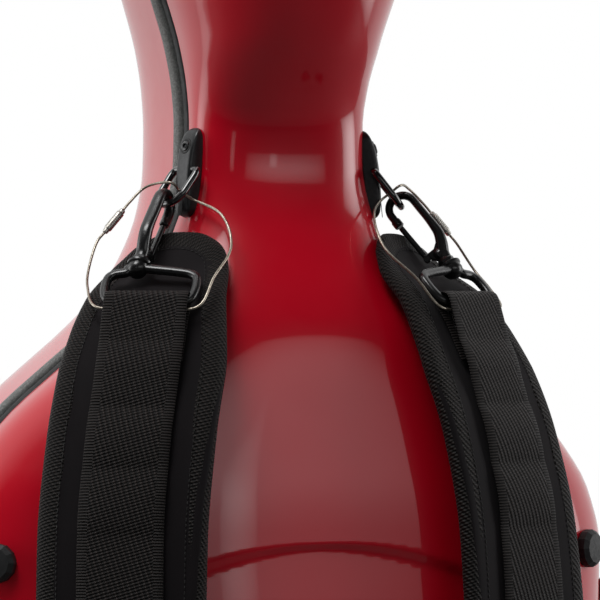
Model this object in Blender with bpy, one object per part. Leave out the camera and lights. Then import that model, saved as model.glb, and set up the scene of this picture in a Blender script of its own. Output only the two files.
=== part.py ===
"""A full-size cello case: two moulded shells hinged along one side, with latches, a side handle,
feet and two padded back straps held by swivel snap hooks and safety cables.

Frame: metres, +Z up from the bottom feet to the scroll end, the back with its straps faces -Y,
the lid faces +Y and the seam lies in the plane y = 0. The hinges are on +X, the latches on -X.
"""

import math

import bmesh
import bpy
import numpy as np
from mathutils import Matrix, Vector

# --- Driving dimensions -------------------------------------------------------------------------

# Half outline of the case from the bottom to the scroll end:
# height, half width, depth of the back shell, depth of the lid shell.
BAND = 0.010
OUTLINE = (
    (0.0200, 0.000, BAND, BAND),
    (0.0205, 0.070, 0.055, 0.062),
    (0.0270, 0.135, 0.086, 0.102),
    (0.0560, 0.195, 0.106, 0.128),
    (0.1200, 0.235, 0.116, 0.140),
    (0.2300, 0.256, 0.118, 0.146),
    (0.3500, 0.245, 0.117, 0.147),
    (0.4600, 0.217, 0.115, 0.147),
    (0.5600, 0.199, 0.112, 0.146),
    (0.6500, 0.199, 0.107, 0.144),
    (0.7200, 0.207, 0.101, 0.142),
    (0.7800, 0.208, 0.095, 0.139),
    (0.8140, 0.200, 0.092, 0.136),
    (0.8380, 0.1855, 0.089, 0.133),
    (0.8620, 0.1655, 0.086, 0.130),
    (0.8870, 0.1370, 0.083, 0.126),
    (0.9110, 0.1085, 0.079, 0.123),
    (0.9350, 0.0845, 0.070, 0.121),
    (0.9600, 0.0685, 0.058, 0.120),
    (0.9840, 0.0590, 0.048, 0.119),
    (1.0100, 0.0545, 0.043, 0.119),
    (1.0350, 0.0540, 0.045, 0.119),
    (1.0560, 0.0555, 0.058, 0.118),
    (1.0810, 0.0600, 0.078, 0.116),
    (1.1300, 0.0750, 0.094, 0.114),
    (1.1900, 0.0900, 0.100, 0.112),
    (1.2500, 0.0940, 0.096, 0.106),
    (1.3000, 0.0800, 0.080, 0.088),
    (1.3260, 0.0520, 0.054, 0.060),
    (1.3350, 0.0000, BAND, BAND),
)
BACK_POWER = 2.3
LID_POWER = 4.5
RIM_WALL = 0.003
SHELL_WALL = 0.004
SHELL_COLUMNS = 8
LINING_COLUMNS = 8
LINING_GAP = 0.0012
LINING_WALL = 0.008
BAND_PROUD = 0.0012
BAND_INSIDE = 0.0048
GAP = 0.0003

HINGE_HEIGHTS = (0.240, 0.730)
HINGE_OFFSET = 0.0090
KNUCKLE_RADIUS = 0.0045
KNUCKLE_BORE = 0.0024
HINGE_PIN_RADIUS = 0.0019
LEAF_LENGTH = 0.054
LEAF_REACH = 0.030

LATCH_HEIGHTS = (0.150, 0.440, 0.745)
LATCH_PIVOT_OUT = 0.0085
LATCH_PIVOT_BACK = 0.036
LATCH_WIDTH = 0.030
EAR_WIDTH = 0.0042

HANDLE_HEIGHT = 0.585
HANDLE_BACK = 0.038
HANDLE_AXIS_OUT = 0.0085
HANDLE_MOUNT_SPAN = 0.134
HANDLE_REACH = 0.036
HANDLE_REST_DEG = 35.0

FOOT_PLACES = ((0.085, -0.056), (-0.085, -0.056), (0.085, 0.062), (-0.085, 0.062))
FOOT_HEIGHT = 0.0195
BACK_FOOT_PLACES = ((0.778, 0.184), (0.130, 0.190))

# Upper strap anchor, on the flank of the neck.
ANCHOR_HEIGHT = 1.0060
ANCHOR_AZIMUTH_DEG = 70.0
ANCHOR_LEAN = 0.10
ANCHOR_WIDTH = 0.013
TUNNEL_OUT = 0.0068
TUNNEL_RADIUS = 0.0031
RING_ROD = 0.0022
RING_LENGTH = 0.027
RING_HALF_WIDTH = 0.0112
RING_DROP_DEG = 52.0

# Snap hook, from the ring down to the swivel of the webbing frame.
HOOK_DIRECTION = (0.470, -0.460, -0.753)
HOOK_LENGTH = 0.046
HOOK_TURN_DEG = {1: 0.0, -1: -22.0}
HOOK_THICKNESS = 0.0062
GATE_THICKNESS = 0.0040
GATE_PIVOT = (-0.0076, 0.0100)

# Middle line of a shoulder pad: x, y, z, azimuth of its face, width, thickness.
PAD_LINE = (
    (0.0660, -0.0378, 0.9600, 34.0, 0.010, 0.004),
    (0.0688, -0.0405, 0.9550, 33.0, 0.014, 0.005),
    (0.0778, -0.0470, 0.9450, 32.0, 0.030, 0.008),
    (0.0915, -0.0600, 0.9280, 31.0, 0.080, 0.011),
    (0.1070, -0.0785, 0.8870, 30.0, 0.093, 0.012),
    (0.1172, -0.0885, 0.8500, 28.0, 0.095, 0.012),
    (0.1250, -0.0975, 0.7900, 25.0, 0.095, 0.012),
    (0.1270, -0.1035, 0.7200, 22.0, 0.095, 0.012),
    (0.1258, -0.1095, 0.6400, 20.0, 0.095, 0.012),
    (0.1230, -0.1140, 0.5600, 19.0, 0.093, 0.012),
    (0.1230, -0.1165, 0.5100, 19.0, 0.080, 0.011),
    (0.1235, -0.1170, 0.4900, 19.0, 0.060, 0.009),
    (0.1240, -0.1172, 0.4820, 19.0, 0.028, 0.007),
)
WEB_LOWER_LINE = (
    (0.1240, -0.1180, 0.4700, 19.0),
    (0.1330, -0.1200, 0.4000, 19.0),
    (0.1430, -0.1215, 0.3300, 20.0),
    (0.1530, -0.1190, 0.2700, 22.0),
    (0.1580, -0.1165, 0.2400, 23.0),
)
WEB_WIDTH = 0.050
WEB_THICKNESS = 0.0016
LOOP_RADIUS = 0.0051
FRAME_BAR_HEIGHT = 0.9215
FRAME_THICKNESS = 0.0046
FRAME_HALF_WIDTH = 0.0285

LOWER_ANCHOR_HEIGHT = 0.2080
LOWER_ANCHOR_X = 0.1600
LOWER_RING_HALF_WIDTH = 0.0305
LOWER_RING_ROD = 0.0018

CABLE_DIAMETER = 0.0015
CABLE_POINTS = 56
CLASP_LENGTH = 0.018
CLASP_RADIUS = 0.0024

RED = (0.42, 0.004, 0.012, 1.0)
BLACK_METAL = (0.012, 0.012, 0.013, 1.0)
RUBBER = (0.015, 0.015, 0.016, 1.0)
GREY = (0.16, 0.16, 0.165, 1.0)
FABRIC = (0.018, 0.018, 0.020, 1.0)
PLUSH = (0.09, 0.09, 0.10, 1.0)
STEEL = (0.45, 0.44, 0.42, 1.0)

SIDES = {"left": -1, "right": 1}


# --- General helpers ----------------------------------------------------------------------------

def clear_scene():
    for obj in list(bpy.data.objects):
        bpy.data.objects.remove(obj)


def material(name, color, roughness, metallic=0.0):
    """The named Principled material, made once."""
    found = bpy.data.materials.get(name)
    if found:
        return found
    made = bpy.data.materials.new(name)
    made.use_nodes = True
    shader = made.node_tree.nodes["Principled BSDF"]
    shader.inputs["Base Color"].default_value = color
    shader.inputs["Roughness"].default_value = roughness
    shader.inputs["Metallic"].default_value = metallic
    return made


def finishes():
    """All finishes of the case by name."""
    return {
        "shell": material("gloss_red_shell", RED, 0.12),
        "metal": material("black_metal", BLACK_METAL, 0.35, 0.6),
        "rubber": material("black_rubber", RUBBER, 0.6),
        "trim": material("grey_rim", GREY, 0.6),
        "fabric": material("black_fabric", FABRIC, 0.85),
        "lining": material("grey_lining", PLUSH, 0.95),
        "steel": material("steel", STEEL, 0.3, 1.0),
    }


def smooth_line(points, samples_per_span):
    """Rows of a monotone cubic through rows of numbers, spaced by the distance in the first columns."""
    rows = np.array(points, float)
    step = np.linalg.norm(np.diff(rows[:, :3], axis=0), axis=1)
    t = np.concatenate([[0.0], np.cumsum(step)])
    rise = np.diff(rows, axis=0) / step[:, None]
    slope = np.zeros_like(rows)
    slope[0], slope[-1] = rise[0], rise[-1]
    product = rise[:-1] * rise[1:]
    total = np.where(product > 0, rise[:-1] + rise[1:], 1.0)
    slope[1:-1] = np.where(product > 0, 2 * product / total, 0.0)
    found = []
    for i, length in enumerate(step):
        count = samples_per_span(length)
        for k in range(count):
            u = k / count
            h00, h10 = 2 * u**3 - 3 * u**2 + 1, u**3 - 2 * u**2 + u
            h01, h11 = -2 * u**3 + 3 * u**2, u**3 - u**2
            found.append(
                h00 * rows[i] + h10 * length * slope[i] + h01 * rows[i + 1] + h11 * length * slope[i + 1]
            )
    found.append(rows[-1])
    return np.array(found)


def finish(name, mesh, look, origin=(0.0, 0.0, 0.0), smooth=True):
    """An object from a bmesh in world coordinates, with its origin moved to a joint or a centre."""
    data = bpy.data.meshes.new(name)
    bmesh.ops.translate(mesh, verts=mesh.verts, vec=-Vector(origin))
    mesh.to_mesh(data)
    mesh.free()
    obj = bpy.data.objects.new(name, data)
    bpy.context.scene.collection.objects.link(obj)
    obj.location = origin
    data.materials.append(finishes()[look])
    if smooth:
        data.shade_smooth()
        data.set_sharp_from_angle(angle=math.radians(35))
    return obj


def add_bevel(obj, width, segments=1):
    bevel = obj.modifiers.new("edges", "BEVEL")
    bevel.width = width
    bevel.segments = segments
    bevel.limit_method = "ANGLE"
    bevel.angle_limit = math.radians(40)


def add_boolean(obj, cutter, operation):
    cutter.hide_render = True
    cutter.display_type = "WIRE"
    change = obj.modifiers.new(operation.lower(), "BOOLEAN")
    change.operation = operation
    change.object = cutter


def frame_matrix(origin, x_axis, y_axis, z_axis):
    """A matrix that takes local coordinates to the world, from three unit axes."""
    matrix = Matrix((x_axis, y_axis, z_axis)).transposed().to_4x4()
    matrix.translation = Vector(origin)
    return matrix


def arc(centre, radius, start_deg, end_deg, steps):
    """Points of an arc in a plane, both ends included."""
    angles = [math.radians(start_deg + (end_deg - start_deg) * i / steps) for i in range(steps + 1)]
    return [(centre[0] + radius * math.cos(a), centre[1] + radius * math.sin(a)) for a in angles]


def circle(centre, radius, steps):
    return arc(centre, radius, 0, 360 * (steps - 1) / steps, steps - 1)


def prism(outline, holes, low, high, matrix):
    """A bmesh of a flat outline with holes, extruded along local z from low to high."""
    mesh = bmesh.new()
    edges = []
    for loop in (outline, *holes):
        ring = [mesh.verts.new((x, y, low)) for x, y in loop]
        edges += [mesh.edges.new((a, b)) for a, b in zip(ring, ring[1:] + ring[:1])]
    bmesh.ops.triangle_fill(mesh, use_beauty=True, use_dissolve=False, edges=edges)
    made = bmesh.ops.extrude_face_region(mesh, geom=mesh.faces[:])
    top = [v for v in made["geom"] if isinstance(v, bmesh.types.BMVert)]
    bmesh.ops.translate(mesh, verts=top, vec=(0, 0, high - low))
    bmesh.ops.transform(mesh, verts=mesh.verts, matrix=matrix)
    bmesh.ops.recalc_face_normals(mesh, faces=mesh.faces)
    return mesh


def lathe(profile, steps, matrix):
    """A bmesh turned about local z from (radius, z) points that start and end on the axis."""
    mesh = bmesh.new()
    rings = []
    for radius, z in profile:
        if radius == 0:
            rings.append([mesh.verts.new((0, 0, z))])
        else:
            rings.append([mesh.verts.new((x, y, z)) for x, y in circle((0, 0), radius, steps)])
    for low, high in zip(rings, rings[1:]):
        for i in range(steps):
            j = (i + 1) % steps
            corners = [low[i % len(low)], low[j % len(low)], high[j % len(high)], high[i % len(high)]]
            mesh.faces.new(list(dict.fromkeys(corners)))
    bmesh.ops.transform(mesh, verts=mesh.verts, matrix=matrix)
    bmesh.ops.recalc_face_normals(mesh, faces=mesh.faces)
    return mesh


def loft(sections, closed=False):
    """A bmesh through equal rings of points, capped at both ends unless it closes on itself."""
    mesh = bmesh.new()
    rings = [[mesh.verts.new(p) for p in section] for section in sections]
    pairs = list(zip(rings, rings[1:]))
    if closed:
        pairs.append((rings[-1], rings[0]))
    for low, high in pairs:
        for i in range(len(low)):
            j = (i + 1) % len(low)
            mesh.faces.new((low[i], low[j], high[j], high[i]))
    if not closed:
        mesh.faces.new(rings[0])
        mesh.faces.new(rings[-1])
    bmesh.ops.recalc_face_normals(mesh, faces=mesh.faces)
    return mesh


def tube_curve(name, points, radius, look, closed=False, radii=None, origin=(0.0, 0.0, 0.0), ring=2):
    """A round rod along points as a curve object with filled caps."""
    curve = bpy.data.curves.new(name, "CURVE")
    curve.dimensions = "3D"
    curve.bevel_depth = radius
    curve.bevel_resolution = ring
    curve.use_fill_caps = True
    spline = curve.splines.new("POLY")
    spline.points.add(len(points) - 1)
    for i, point in enumerate(points):
        spline.points[i].co = (*(Vector(point) - Vector(origin)), 1.0)
        spline.points[i].radius = radii[i] if radii else 1.0
    spline.use_cyclic_u = closed
    spline.use_smooth = True
    obj = bpy.data.objects.new(name, curve)
    bpy.context.scene.collection.objects.link(obj)
    obj.location = origin
    curve.materials.append(finishes()[look])
    return obj


# --- The moulded form ---------------------------------------------------------------------------

FORM = smooth_line(OUTLINE, lambda length: 2 if length > 0.06 else 1)
FINE_FORM = smooth_line(OUTLINE, lambda length: 40)


def form_at(height):
    """Half width and back depth of the form at a height."""
    return [float(np.interp(height, FINE_FORM[:, 0], FINE_FORM[:, k])) for k in (1, 2)]


def back_y(x, height):
    """The y of the back shell's outer face at x and a height."""
    width, depth = form_at(height)
    share = max(0.0, 1 - (abs(x) / width) ** BACK_POWER) ** (1 / BACK_POWER)
    return -(BAND + (depth - BAND) * share)


def back_frame(x, height):
    """A frame on the back shell's outer face: local x out, local y across, local z up the face."""
    step = 0.002
    point = Vector((x, back_y(x, height), height))
    across = Vector((2 * step, back_y(x + step, height) - back_y(x - step, height), 0)).normalized()
    up = Vector((0, back_y(x, height + step) - back_y(x, height - step), 2 * step)).normalized()
    out = across.cross(up).normalized()
    if out.y > 0:
        out = -out
    up = (up - up.dot(out) * out).normalized()
    return frame_matrix(point, out, up.cross(out), up)


def seam_frame(height, side):
    """A frame at the seam: local x straight out of the side, local y along world y, local z up the seam."""
    step = 0.004
    width = form_at(height)[0]
    rise = (form_at(height + step)[0] - form_at(height - step)[0]) / (2 * step)
    up = Vector((side * rise, 0, 1)).normalized()
    out = Vector((side, 0, -rise)).normalized()
    return frame_matrix((side * width, 0, height), out, Vector((0, 1, 0)), up)


def half_section(width, depth, power, columns):
    """Points of half a section from +x to -x: a short straight rim wall, then a rounded box."""
    points = [(width, BAND)]
    for i in range(columns + 1):
        angle = math.pi * i / columns
        reach = max(0.0, math.sin(angle)) ** (2 / power)
        x = width * math.copysign(abs(math.cos(angle)) ** (2 / power), math.cos(angle))
        rim = min(RIM_WALL, 0.5 * (depth - BAND))
        points.append((x, BAND + rim + (depth - BAND - rim) * reach))
    points.append((-width, BAND))
    return points


def half_skin(side, depth_column, power, columns):
    """The open outer surface of one shell as a bmesh, with a pole at each end."""
    mesh = bmesh.new()
    rows = []
    for row in FORM:
        height, width, depth = row[0], row[1], row[depth_column]
        if width == 0:
            rows.append([mesh.verts.new((0, side * BAND, height))])
            continue
        section = half_section(width, depth, power, columns)
        rows.append([mesh.verts.new((x, side * y, height)) for x, y in section])
    count = columns + 3
    for low, high in zip(rows, rows[1:]):
        for i in range(count - 1):
            corners = [low[min(i, len(low) - 1)], low[min(i + 1, len(low) - 1)]]
            corners += [high[min(i + 1, len(high) - 1)], high[min(i, len(high) - 1)]]
            mesh.faces.new(list(dict.fromkeys(corners)))
    bmesh.ops.recalc_face_normals(mesh, faces=mesh.faces)
    middle = max(mesh.faces, key=lambda face: abs(face.calc_center_median().y))
    if middle.normal.y * side < 0:
        bmesh.ops.reverse_faces(mesh, faces=mesh.faces)
    return mesh


def shell(name, side, depth_column, power, columns, depth_in, wall, look):
    """A moulded shell: the skin given a wall that starts depth_in below the outer surface."""
    obj = finish(name, half_skin(side, depth_column, power, columns), look)
    solid = obj.modifiers.new("wall", "SOLIDIFY")
    solid.thickness = wall
    solid.offset = -(1 + 2 * depth_in / wall)
    solid.use_even_offset = True
    solid.use_quality_normals = True
    return obj


def rim_band(name, low, high, look):
    """A seal or rim strip that follows the whole outline of the seam between two y values."""
    sections = []
    spine = [(row[1], row[0]) for row in FORM]
    spine += [(-x, z) for x, z in reversed(spine[1:-1])]
    for i, (x, z) in enumerate(spine):
        before, after = spine[i - 1], spine[(i + 1) % len(spine)]
        along = Vector((after[0] - before[0], 0, after[1] - before[1])).normalized()
        out = Vector((along.z, 0, -along.x))
        centre = Vector((x, 0, z))
        outer, inner = centre + BAND_PROUD * out, centre - BAND_INSIDE * out
        sections.append([(p.x, y, p.z) for p, y in ((outer, low), (outer, high), (inner, high), (inner, low))])
    return finish(name, loft(sections, closed=True), look)


def make_shells():
    shell("back_shell", -1, 2, BACK_POWER, SHELL_COLUMNS, 0.0, SHELL_WALL, "shell")
    shell("lid_shell", 1, 3, LID_POWER, SHELL_COLUMNS, 0.0, SHELL_WALL, "shell")
    lining_depth = SHELL_WALL + LINING_GAP
    shell("back_lining", -1, 2, BACK_POWER, LINING_COLUMNS, lining_depth, LINING_WALL, "lining")
    shell("lid_lining", 1, 3, LID_POWER, LINING_COLUMNS, lining_depth, LINING_WALL, "lining")
    rim_band("seam_gasket", -BAND + GAP, -GAP / 2, "rubber")
    rim_band("lid_rim", GAP / 2, BAND - GAP, "trim")


# --- Inside the case ----------------------------------------------------------------------------

def make_interior():
    """The neck cradle, the end block and the bow clip, each a foam or rubber block."""
    across = frame_matrix((0, 0, 0), Vector((1, 0, 0)), Vector((0, 1, 0)), Vector((0, 0, 1)))
    cradle = [(-0.026, -0.0225), (0.026, -0.0225), (0.026, -0.004), (0.017, -0.004)]
    cradle += arc((0, -0.004), 0.012, 0, -180, 6)[0:7] + [(-0.017, -0.004), (-0.026, -0.004)]
    finish("neck_cradle", prism(cradle, [], 1.000, 1.040, across), "lining")
    clip = [(0.020, 0.118), (0.056, 0.118), (0.056, 0.100), (0.048, 0.094), (0.046, 0.098)]
    clip += [(0.050, 0.102), (0.050, 0.111), (0.026, 0.111), (0.026, 0.102), (0.030, 0.098)]
    clip += [(0.028, 0.094), (0.020, 0.100)]
    finish("bow_clip", prism(clip, [], 0.640, 0.662, across), "rubber")


# --- Hinges along the right side ----------------------------------------------------------------

def hinge_axis_point(height):
    """A point of the lid's axis at a height: a straight line just outside the two bouts."""
    low, high = HINGE_HEIGHTS
    x_low, x_high = (form_at(z)[0] + HINGE_OFFSET for z in HINGE_HEIGHTS)
    return Vector((x_low + (x_high - x_low) * (height - low) / (high - low), 0, height))


def hinge_frame(height):
    up = (hinge_axis_point(HINGE_HEIGHTS[1]) - hinge_axis_point(HINGE_HEIGHTS[0])).normalized()
    across = Vector((0, 1, 0))
    return frame_matrix(hinge_axis_point(height), across.cross(up), across, up)


def leaf_outline(side):
    """Side profile of a hinge leaf: a flat plate that rolls into the knuckle."""
    near, far = -0.0018, -0.0040
    points = arc((0, 0), KNUCKLE_RADIUS, -112, 150, 10)
    points += [(far, -LEAF_REACH), (near, -LEAF_REACH)]
    return [(x, -side * y) for x, y in points]


def make_hinge(label, height):
    frame = hinge_frame(height)
    half = LEAF_LENGTH / 2
    bore = circle((0, 0), KNUCKLE_BORE, 12)
    for name, side in (("hinge_leaf_back", -1), ("hinge_leaf_lid", 1)):
        leaf = finish(f"{name}_{label}", prism(leaf_outline(side), [bore], -half, half, frame), "metal")
        spans = [(-half / 3, half / 3)] if side < 0 else [(-half - 0.001, -half / 3), (half / 3, half + 0.001)]
        for number, (low, high) in enumerate(spans):
            box = [(-0.007, side * 0.0050), (0.007, side * 0.0050), (0.007, -side * 0.007), (-0.007, -side * 0.007)]
            ease = GAP / 2 * (1 if side < 0 else 0) + GAP / 2
            cutter = prism(box, [], low - ease, high + ease, frame)
            add_boolean(leaf, finish(f"{name}_{label}_notch_{number}", cutter, "metal"), "DIFFERENCE")
    pin = [(0, -half), (HINGE_PIN_RADIUS, -half), (HINGE_PIN_RADIUS, half + 0.0006)]
    pin += [(0.0034, half + 0.0006), (0.0034, half + 0.0020), (0, half + 0.0026)]
    finish(f"hinge_pin_{label}", lathe(pin, 12, frame), "steel", origin=frame.translation)


# --- Latches along the left side ----------------------------------------------------------------

def make_latch(number, height):
    frame = seam_frame(height, -1)
    pivot = (LATCH_PIVOT_OUT, -LATCH_PIVOT_BACK)
    half = LATCH_WIDTH / 2
    base = [(0.0008, -0.0480), (0.0008, -0.0125), (0.0030, -0.0125), (0.0030, -0.0290)]
    base += arc(pivot, 0.0042, 110, -110, 8) + [(0.0030, -0.0440), (0.0030, -0.0480)]
    plate = finish(
        f"latch_base_{number}", prism(base, [circle(pivot, 0.0020, 10)], -half, half, frame), "metal"
    )
    slot = [(0.0034, -0.0550), (0.0200, -0.0550), (0.0200, -0.0100), (0.0034, -0.0100)]
    inner = half - EAR_WIDTH
    add_boolean(plate, finish(f"latch_base_{number}_slot", prism(slot, [], -inner, inner, frame), "metal"), "DIFFERENCE")

    reach = inner - GAP
    lever = arc(pivot, 0.0036, 135, 405, 9)
    lever += [(0.0110, -0.0250), (0.0100, 0.0000), (0.0092, 0.0220), (0.0115, 0.0300), (0.0085, 0.0300)]
    lever += [(0.0060, 0.0240), (0.0060, -0.0300)]
    world_pivot = frame @ Vector((*pivot, 0))
    body = finish(
        f"latch_lever_{number}", prism(lever, [], -reach, reach, frame), "metal", origin=world_pivot
    )
    rod = prism(circle(pivot, 0.0016, 10), [], -half + 0.0004, half - 0.0004, frame)
    add_boolean(body, finish(f"latch_lever_{number}_rod", rod, "steel"), "UNION")

    catch = [(0.0008, 0.0125), (0.0008, 0.0270), (0.0030, 0.0270), (0.0052, 0.0215), (0.0052, 0.0125)]
    finish(f"latch_catch_{number}", prism(catch, [], -0.010, 0.010, frame), "metal")


# --- Side handle --------------------------------------------------------------------------------

def make_handle():
    frame = seam_frame(HANDLE_HEIGHT, -1)
    pivot = (HANDLE_AXIS_OUT, -HANDLE_BACK)
    half = HANDLE_MOUNT_SPAN / 2
    outline = [(0.0030, -HANDLE_BACK - 0.016), (0.0030, -HANDLE_BACK + 0.016), (0.0055, -HANDLE_BACK + 0.016)]
    outline += arc(pivot, 0.0070, 75, -75, 6)
    outline += [(0.0055, -HANDLE_BACK - 0.016)]
    for label, sign in (("lower", -1), ("upper", 1)):
        low, high = sorted((sign * (half - 0.007), sign * (half + 0.007)))
        mount = finish(
            f"handle_mount_{label}", prism(outline, [circle(pivot, 0.0042, 10)], low, high, frame), "metal"
        )
        add_bevel(mount, 0.0008)
    turn = math.radians(HANDLE_REST_DEG)
    local = [(0.0, half + 0.0065), (0.0, half - 0.0085), (0.010, half - 0.0140)]
    local += [(HANDLE_REACH * 0.8, half - 0.0250), (HANDLE_REACH, half - 0.0400)]
    radii = [0.38, 0.38, 0.70, 0.85, 1.0]
    local += [(r, -z) for r, z in reversed(local)]
    radii += radii[::-1]
    points = [
        frame @ Vector((pivot[0] + r * math.cos(turn), pivot[1] - r * math.sin(turn), z)) for r, z in local
    ]
    tube_curve("handle_grip", points, 0.0095, "rubber", radii=radii, origin=frame @ Vector((*pivot, 0)))


# --- Feet ---------------------------------------------------------------------------------------

def make_feet():
    profile = [(0, 0), (0.0125, 0), (0.0145, 0.002), (0.0165, FOOT_HEIGHT), (0, FOOT_HEIGHT)]
    for number, (x, y) in enumerate(FOOT_PLACES, 1):
        finish(f"foot_{number}", lathe(profile, 14, Matrix.Translation((x, y, 0))), "rubber")
    knob = [(0, 0.0010), (0.0115, 0.0010), (0.0115, 0.0055), (0.0090, 0.0080), (0, 0.0088)]
    number = 0
    for height, x in BACK_FOOT_PLACES:
        for side in SIDES.values():
            number += 1
            frame = back_frame(side * x, height)
            turned = frame @ Matrix.Rotation(math.pi / 2, 4, "Y")
            finish(f"back_foot_{number}", lathe(knob, 12, turned), "rubber")


# --- Upper strap anchors and rings --------------------------------------------------------------

def mirrored(vector, side):
    return Vector((vector[0] * side, vector[1], vector[2]))


def anchor_frame(side):
    """Local x out of the neck's flank, local y across, local z up the flank, at the anchor's middle."""
    width, depth = form_at(ANCHOR_HEIGHT)
    azimuth = math.radians(ANCHOR_AZIMUTH_DEG)
    out = Vector((side * math.sin(azimuth), -math.cos(azimuth), 0))
    # The point of the section whose normal has this azimuth.
    ratio = math.tan(azimuth) * width / (depth - BAND)
    share = ratio ** (1 / (BACK_POWER - 1))
    x_share = share / (1 + share**BACK_POWER) ** (1 / BACK_POWER)
    x = side * width * x_share
    point = Vector((x, back_y(x, ANCHOR_HEIGHT), ANCHOR_HEIGHT))
    up = (Vector((0, 0, 1)) - ANCHOR_LEAN * out).normalized()
    lean_out = (out - out.dot(up) * up).normalized()
    return frame_matrix(point, lean_out, up.cross(lean_out), up)


def ring_axes(side):
    """The tunnel's centre, the ring's swing axis and the direction in which the ring hangs."""
    frame = anchor_frame(side)
    across = frame.to_3x3().col[1].copy()
    out = Vector((frame.to_3x3().col[0].x, frame.to_3x3().col[0].y, 0)).normalized()
    drop = math.radians(RING_DROP_DEG)
    hang = (math.cos(drop) * out - math.sin(drop) * Vector((0, 0, 1))).normalized()
    return frame @ Vector((TUNNEL_OUT, 0, 0)), across, hang


def make_anchor(label, side):
    frame = anchor_frame(side)
    outline = [(0.0028, -0.0215), (0.0070, -0.0255), (0.0104, -0.0230), (0.0115, -0.0170), (0.0117, 0.0060)]
    outline += [(0.0110, 0.0170), (0.0080, 0.0230), (0.0028, 0.0245)]
    # The prism's own z runs across the anchor, so its outline lies in the out-up plane.
    axes = frame.to_3x3()
    turned = frame_matrix(frame.translation, axes.col[0], axes.col[2], axes.col[0].cross(axes.col[2]))
    half = ANCHOR_WIDTH / 2
    tunnel = circle((TUNNEL_OUT, 0), TUNNEL_RADIUS, 12)
    body = finish(f"strap_anchor_{label}", prism(outline, [tunnel], -half, half, turned), "metal")
    add_bevel(body, 0.0009)
    head = [(0, 0), (0.0040, 0), (0.0040, 0.0008), (0.0028, 0.0016), (0, 0.0016)]
    seat = frame @ Matrix.Translation((0.01165, 0, 0.0125)) @ Matrix.Rotation(math.radians(84), 4, "Y")
    finish(f"anchor_screw_{label}", lathe(head, 10, seat), "steel")


def ring_points(centre, across, hang):
    """The middle line of the D ring: its bar in the tunnel, two legs and a round end."""
    flat = [(-0.0050, 0.0), (0.0050, 0.0), (RING_HALF_WIDTH - 0.0015, 0.0006), (RING_HALF_WIDTH, 0.0030)]
    round_end = RING_LENGTH - RING_HALF_WIDTH
    flat += [(RING_HALF_WIDTH, round_end - 0.0020)]
    flat += arc((0, round_end), RING_HALF_WIDTH, 15, 165, 6)
    flat += [(-RING_HALF_WIDTH, round_end - 0.0020), (-RING_HALF_WIDTH, 0.0030), (-RING_HALF_WIDTH + 0.0015, 0.0006)]
    return [centre + a * across + h * hang for a, h in flat]


def make_ring(label, side):
    centre, across, hang = ring_axes(side)
    tube_curve(f"d_ring_{label}", ring_points(centre, across, hang), RING_ROD, "metal", True, origin=centre)


# --- Snap hooks ---------------------------------------------------------------------------------

def hook_frame(side):
    """Origin at the hook's swivel, local z up the shank, local x across from gate to spine, local y its thickness."""
    centre, across, hang = ring_axes(side)
    down = mirrored(HOOK_DIRECTION, side).normalized()
    bar = centre + RING_LENGTH * hang
    up = -down
    thick = (across - across.dot(up) * up).normalized()
    thick = Matrix.Rotation(math.radians(side * HOOK_TURN_DEG[side]), 3, up) @ thick
    lateral = thick.cross(up).normalized()
    if lateral.dot(Vector((side, 0, 0))) < 0:
        lateral, thick = -lateral, -thick
    return frame_matrix(bar + HOOK_LENGTH * down, lateral, thick, up)


def hook_outline():
    bend = (0.0, HOOK_LENGTH - 0.0015)
    outer = arc(bend, 0.0102, 0, 180, 10)
    inner = arc(bend, 0.0062, 180, 0, 8)
    spine = [(0.0102, 0.0130), (0.0070, 0.0040), (0.0050, 0.0)]
    base = [(-0.0050, 0.0), (-0.0060, 0.0030), (-0.0040, 0.0065), (0.0025, 0.0105), (0.0055, 0.0180)]
    return spine[::-1] + outer + [(-0.0102, 0.0370), (-0.0062, 0.0370)] + inner + base[::-1]


def make_hook(label, side):
    frame = hook_frame(side)
    axes = frame.to_3x3()
    turned = frame_matrix(frame.translation, axes.col[0], axes.col[2], axes.col[0].cross(axes.col[2]))
    half = HOOK_THICKNESS / 2
    hook = finish(
        f"snap_hook_{label}", prism(hook_outline(), [], -half, half, turned), "metal", origin=frame.translation
    )
    add_bevel(hook, 0.0009)
    pivot = turned @ Vector((*GATE_PIVOT, 0))
    gate = arc(GATE_PIVOT, 0.0021, 180, 360, 5) + [(-0.0064, 0.0355), (-0.0098, 0.0355)]
    half = GATE_THICKNESS / 2
    finish(f"hook_gate_{label}", prism(gate, [], -half, half, turned), "metal", origin=pivot)


# --- Straps -------------------------------------------------------------------------------------

def strap_rows(line):
    return smooth_line(line, lambda length: 2 if length > 0.03 else 1)


PAD_ROWS = strap_rows(PAD_LINE)


def strap_station(rows, height, side):
    """Middle, level width axis, outward normal and downward direction of a strap at a height."""
    order = rows[np.argsort(rows[:, 2])]
    heights = order[:, 2]

    def at(z):
        return Vector((side * float(np.interp(z, heights, order[:, 0])), float(np.interp(z, heights, order[:, 1])), z))

    azimuth = math.radians(float(np.interp(height, heights, order[:, 3])))
    down = (at(height - 0.004) - at(height + 0.004)).normalized()
    across = Vector((math.cos(azimuth), side * math.sin(azimuth), 0))
    down = (down - down.dot(across) * across).normalized()
    normal = across.cross(down).normalized()
    if normal.y > 0:
        normal = -normal
    return at(height), across, normal, down


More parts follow.
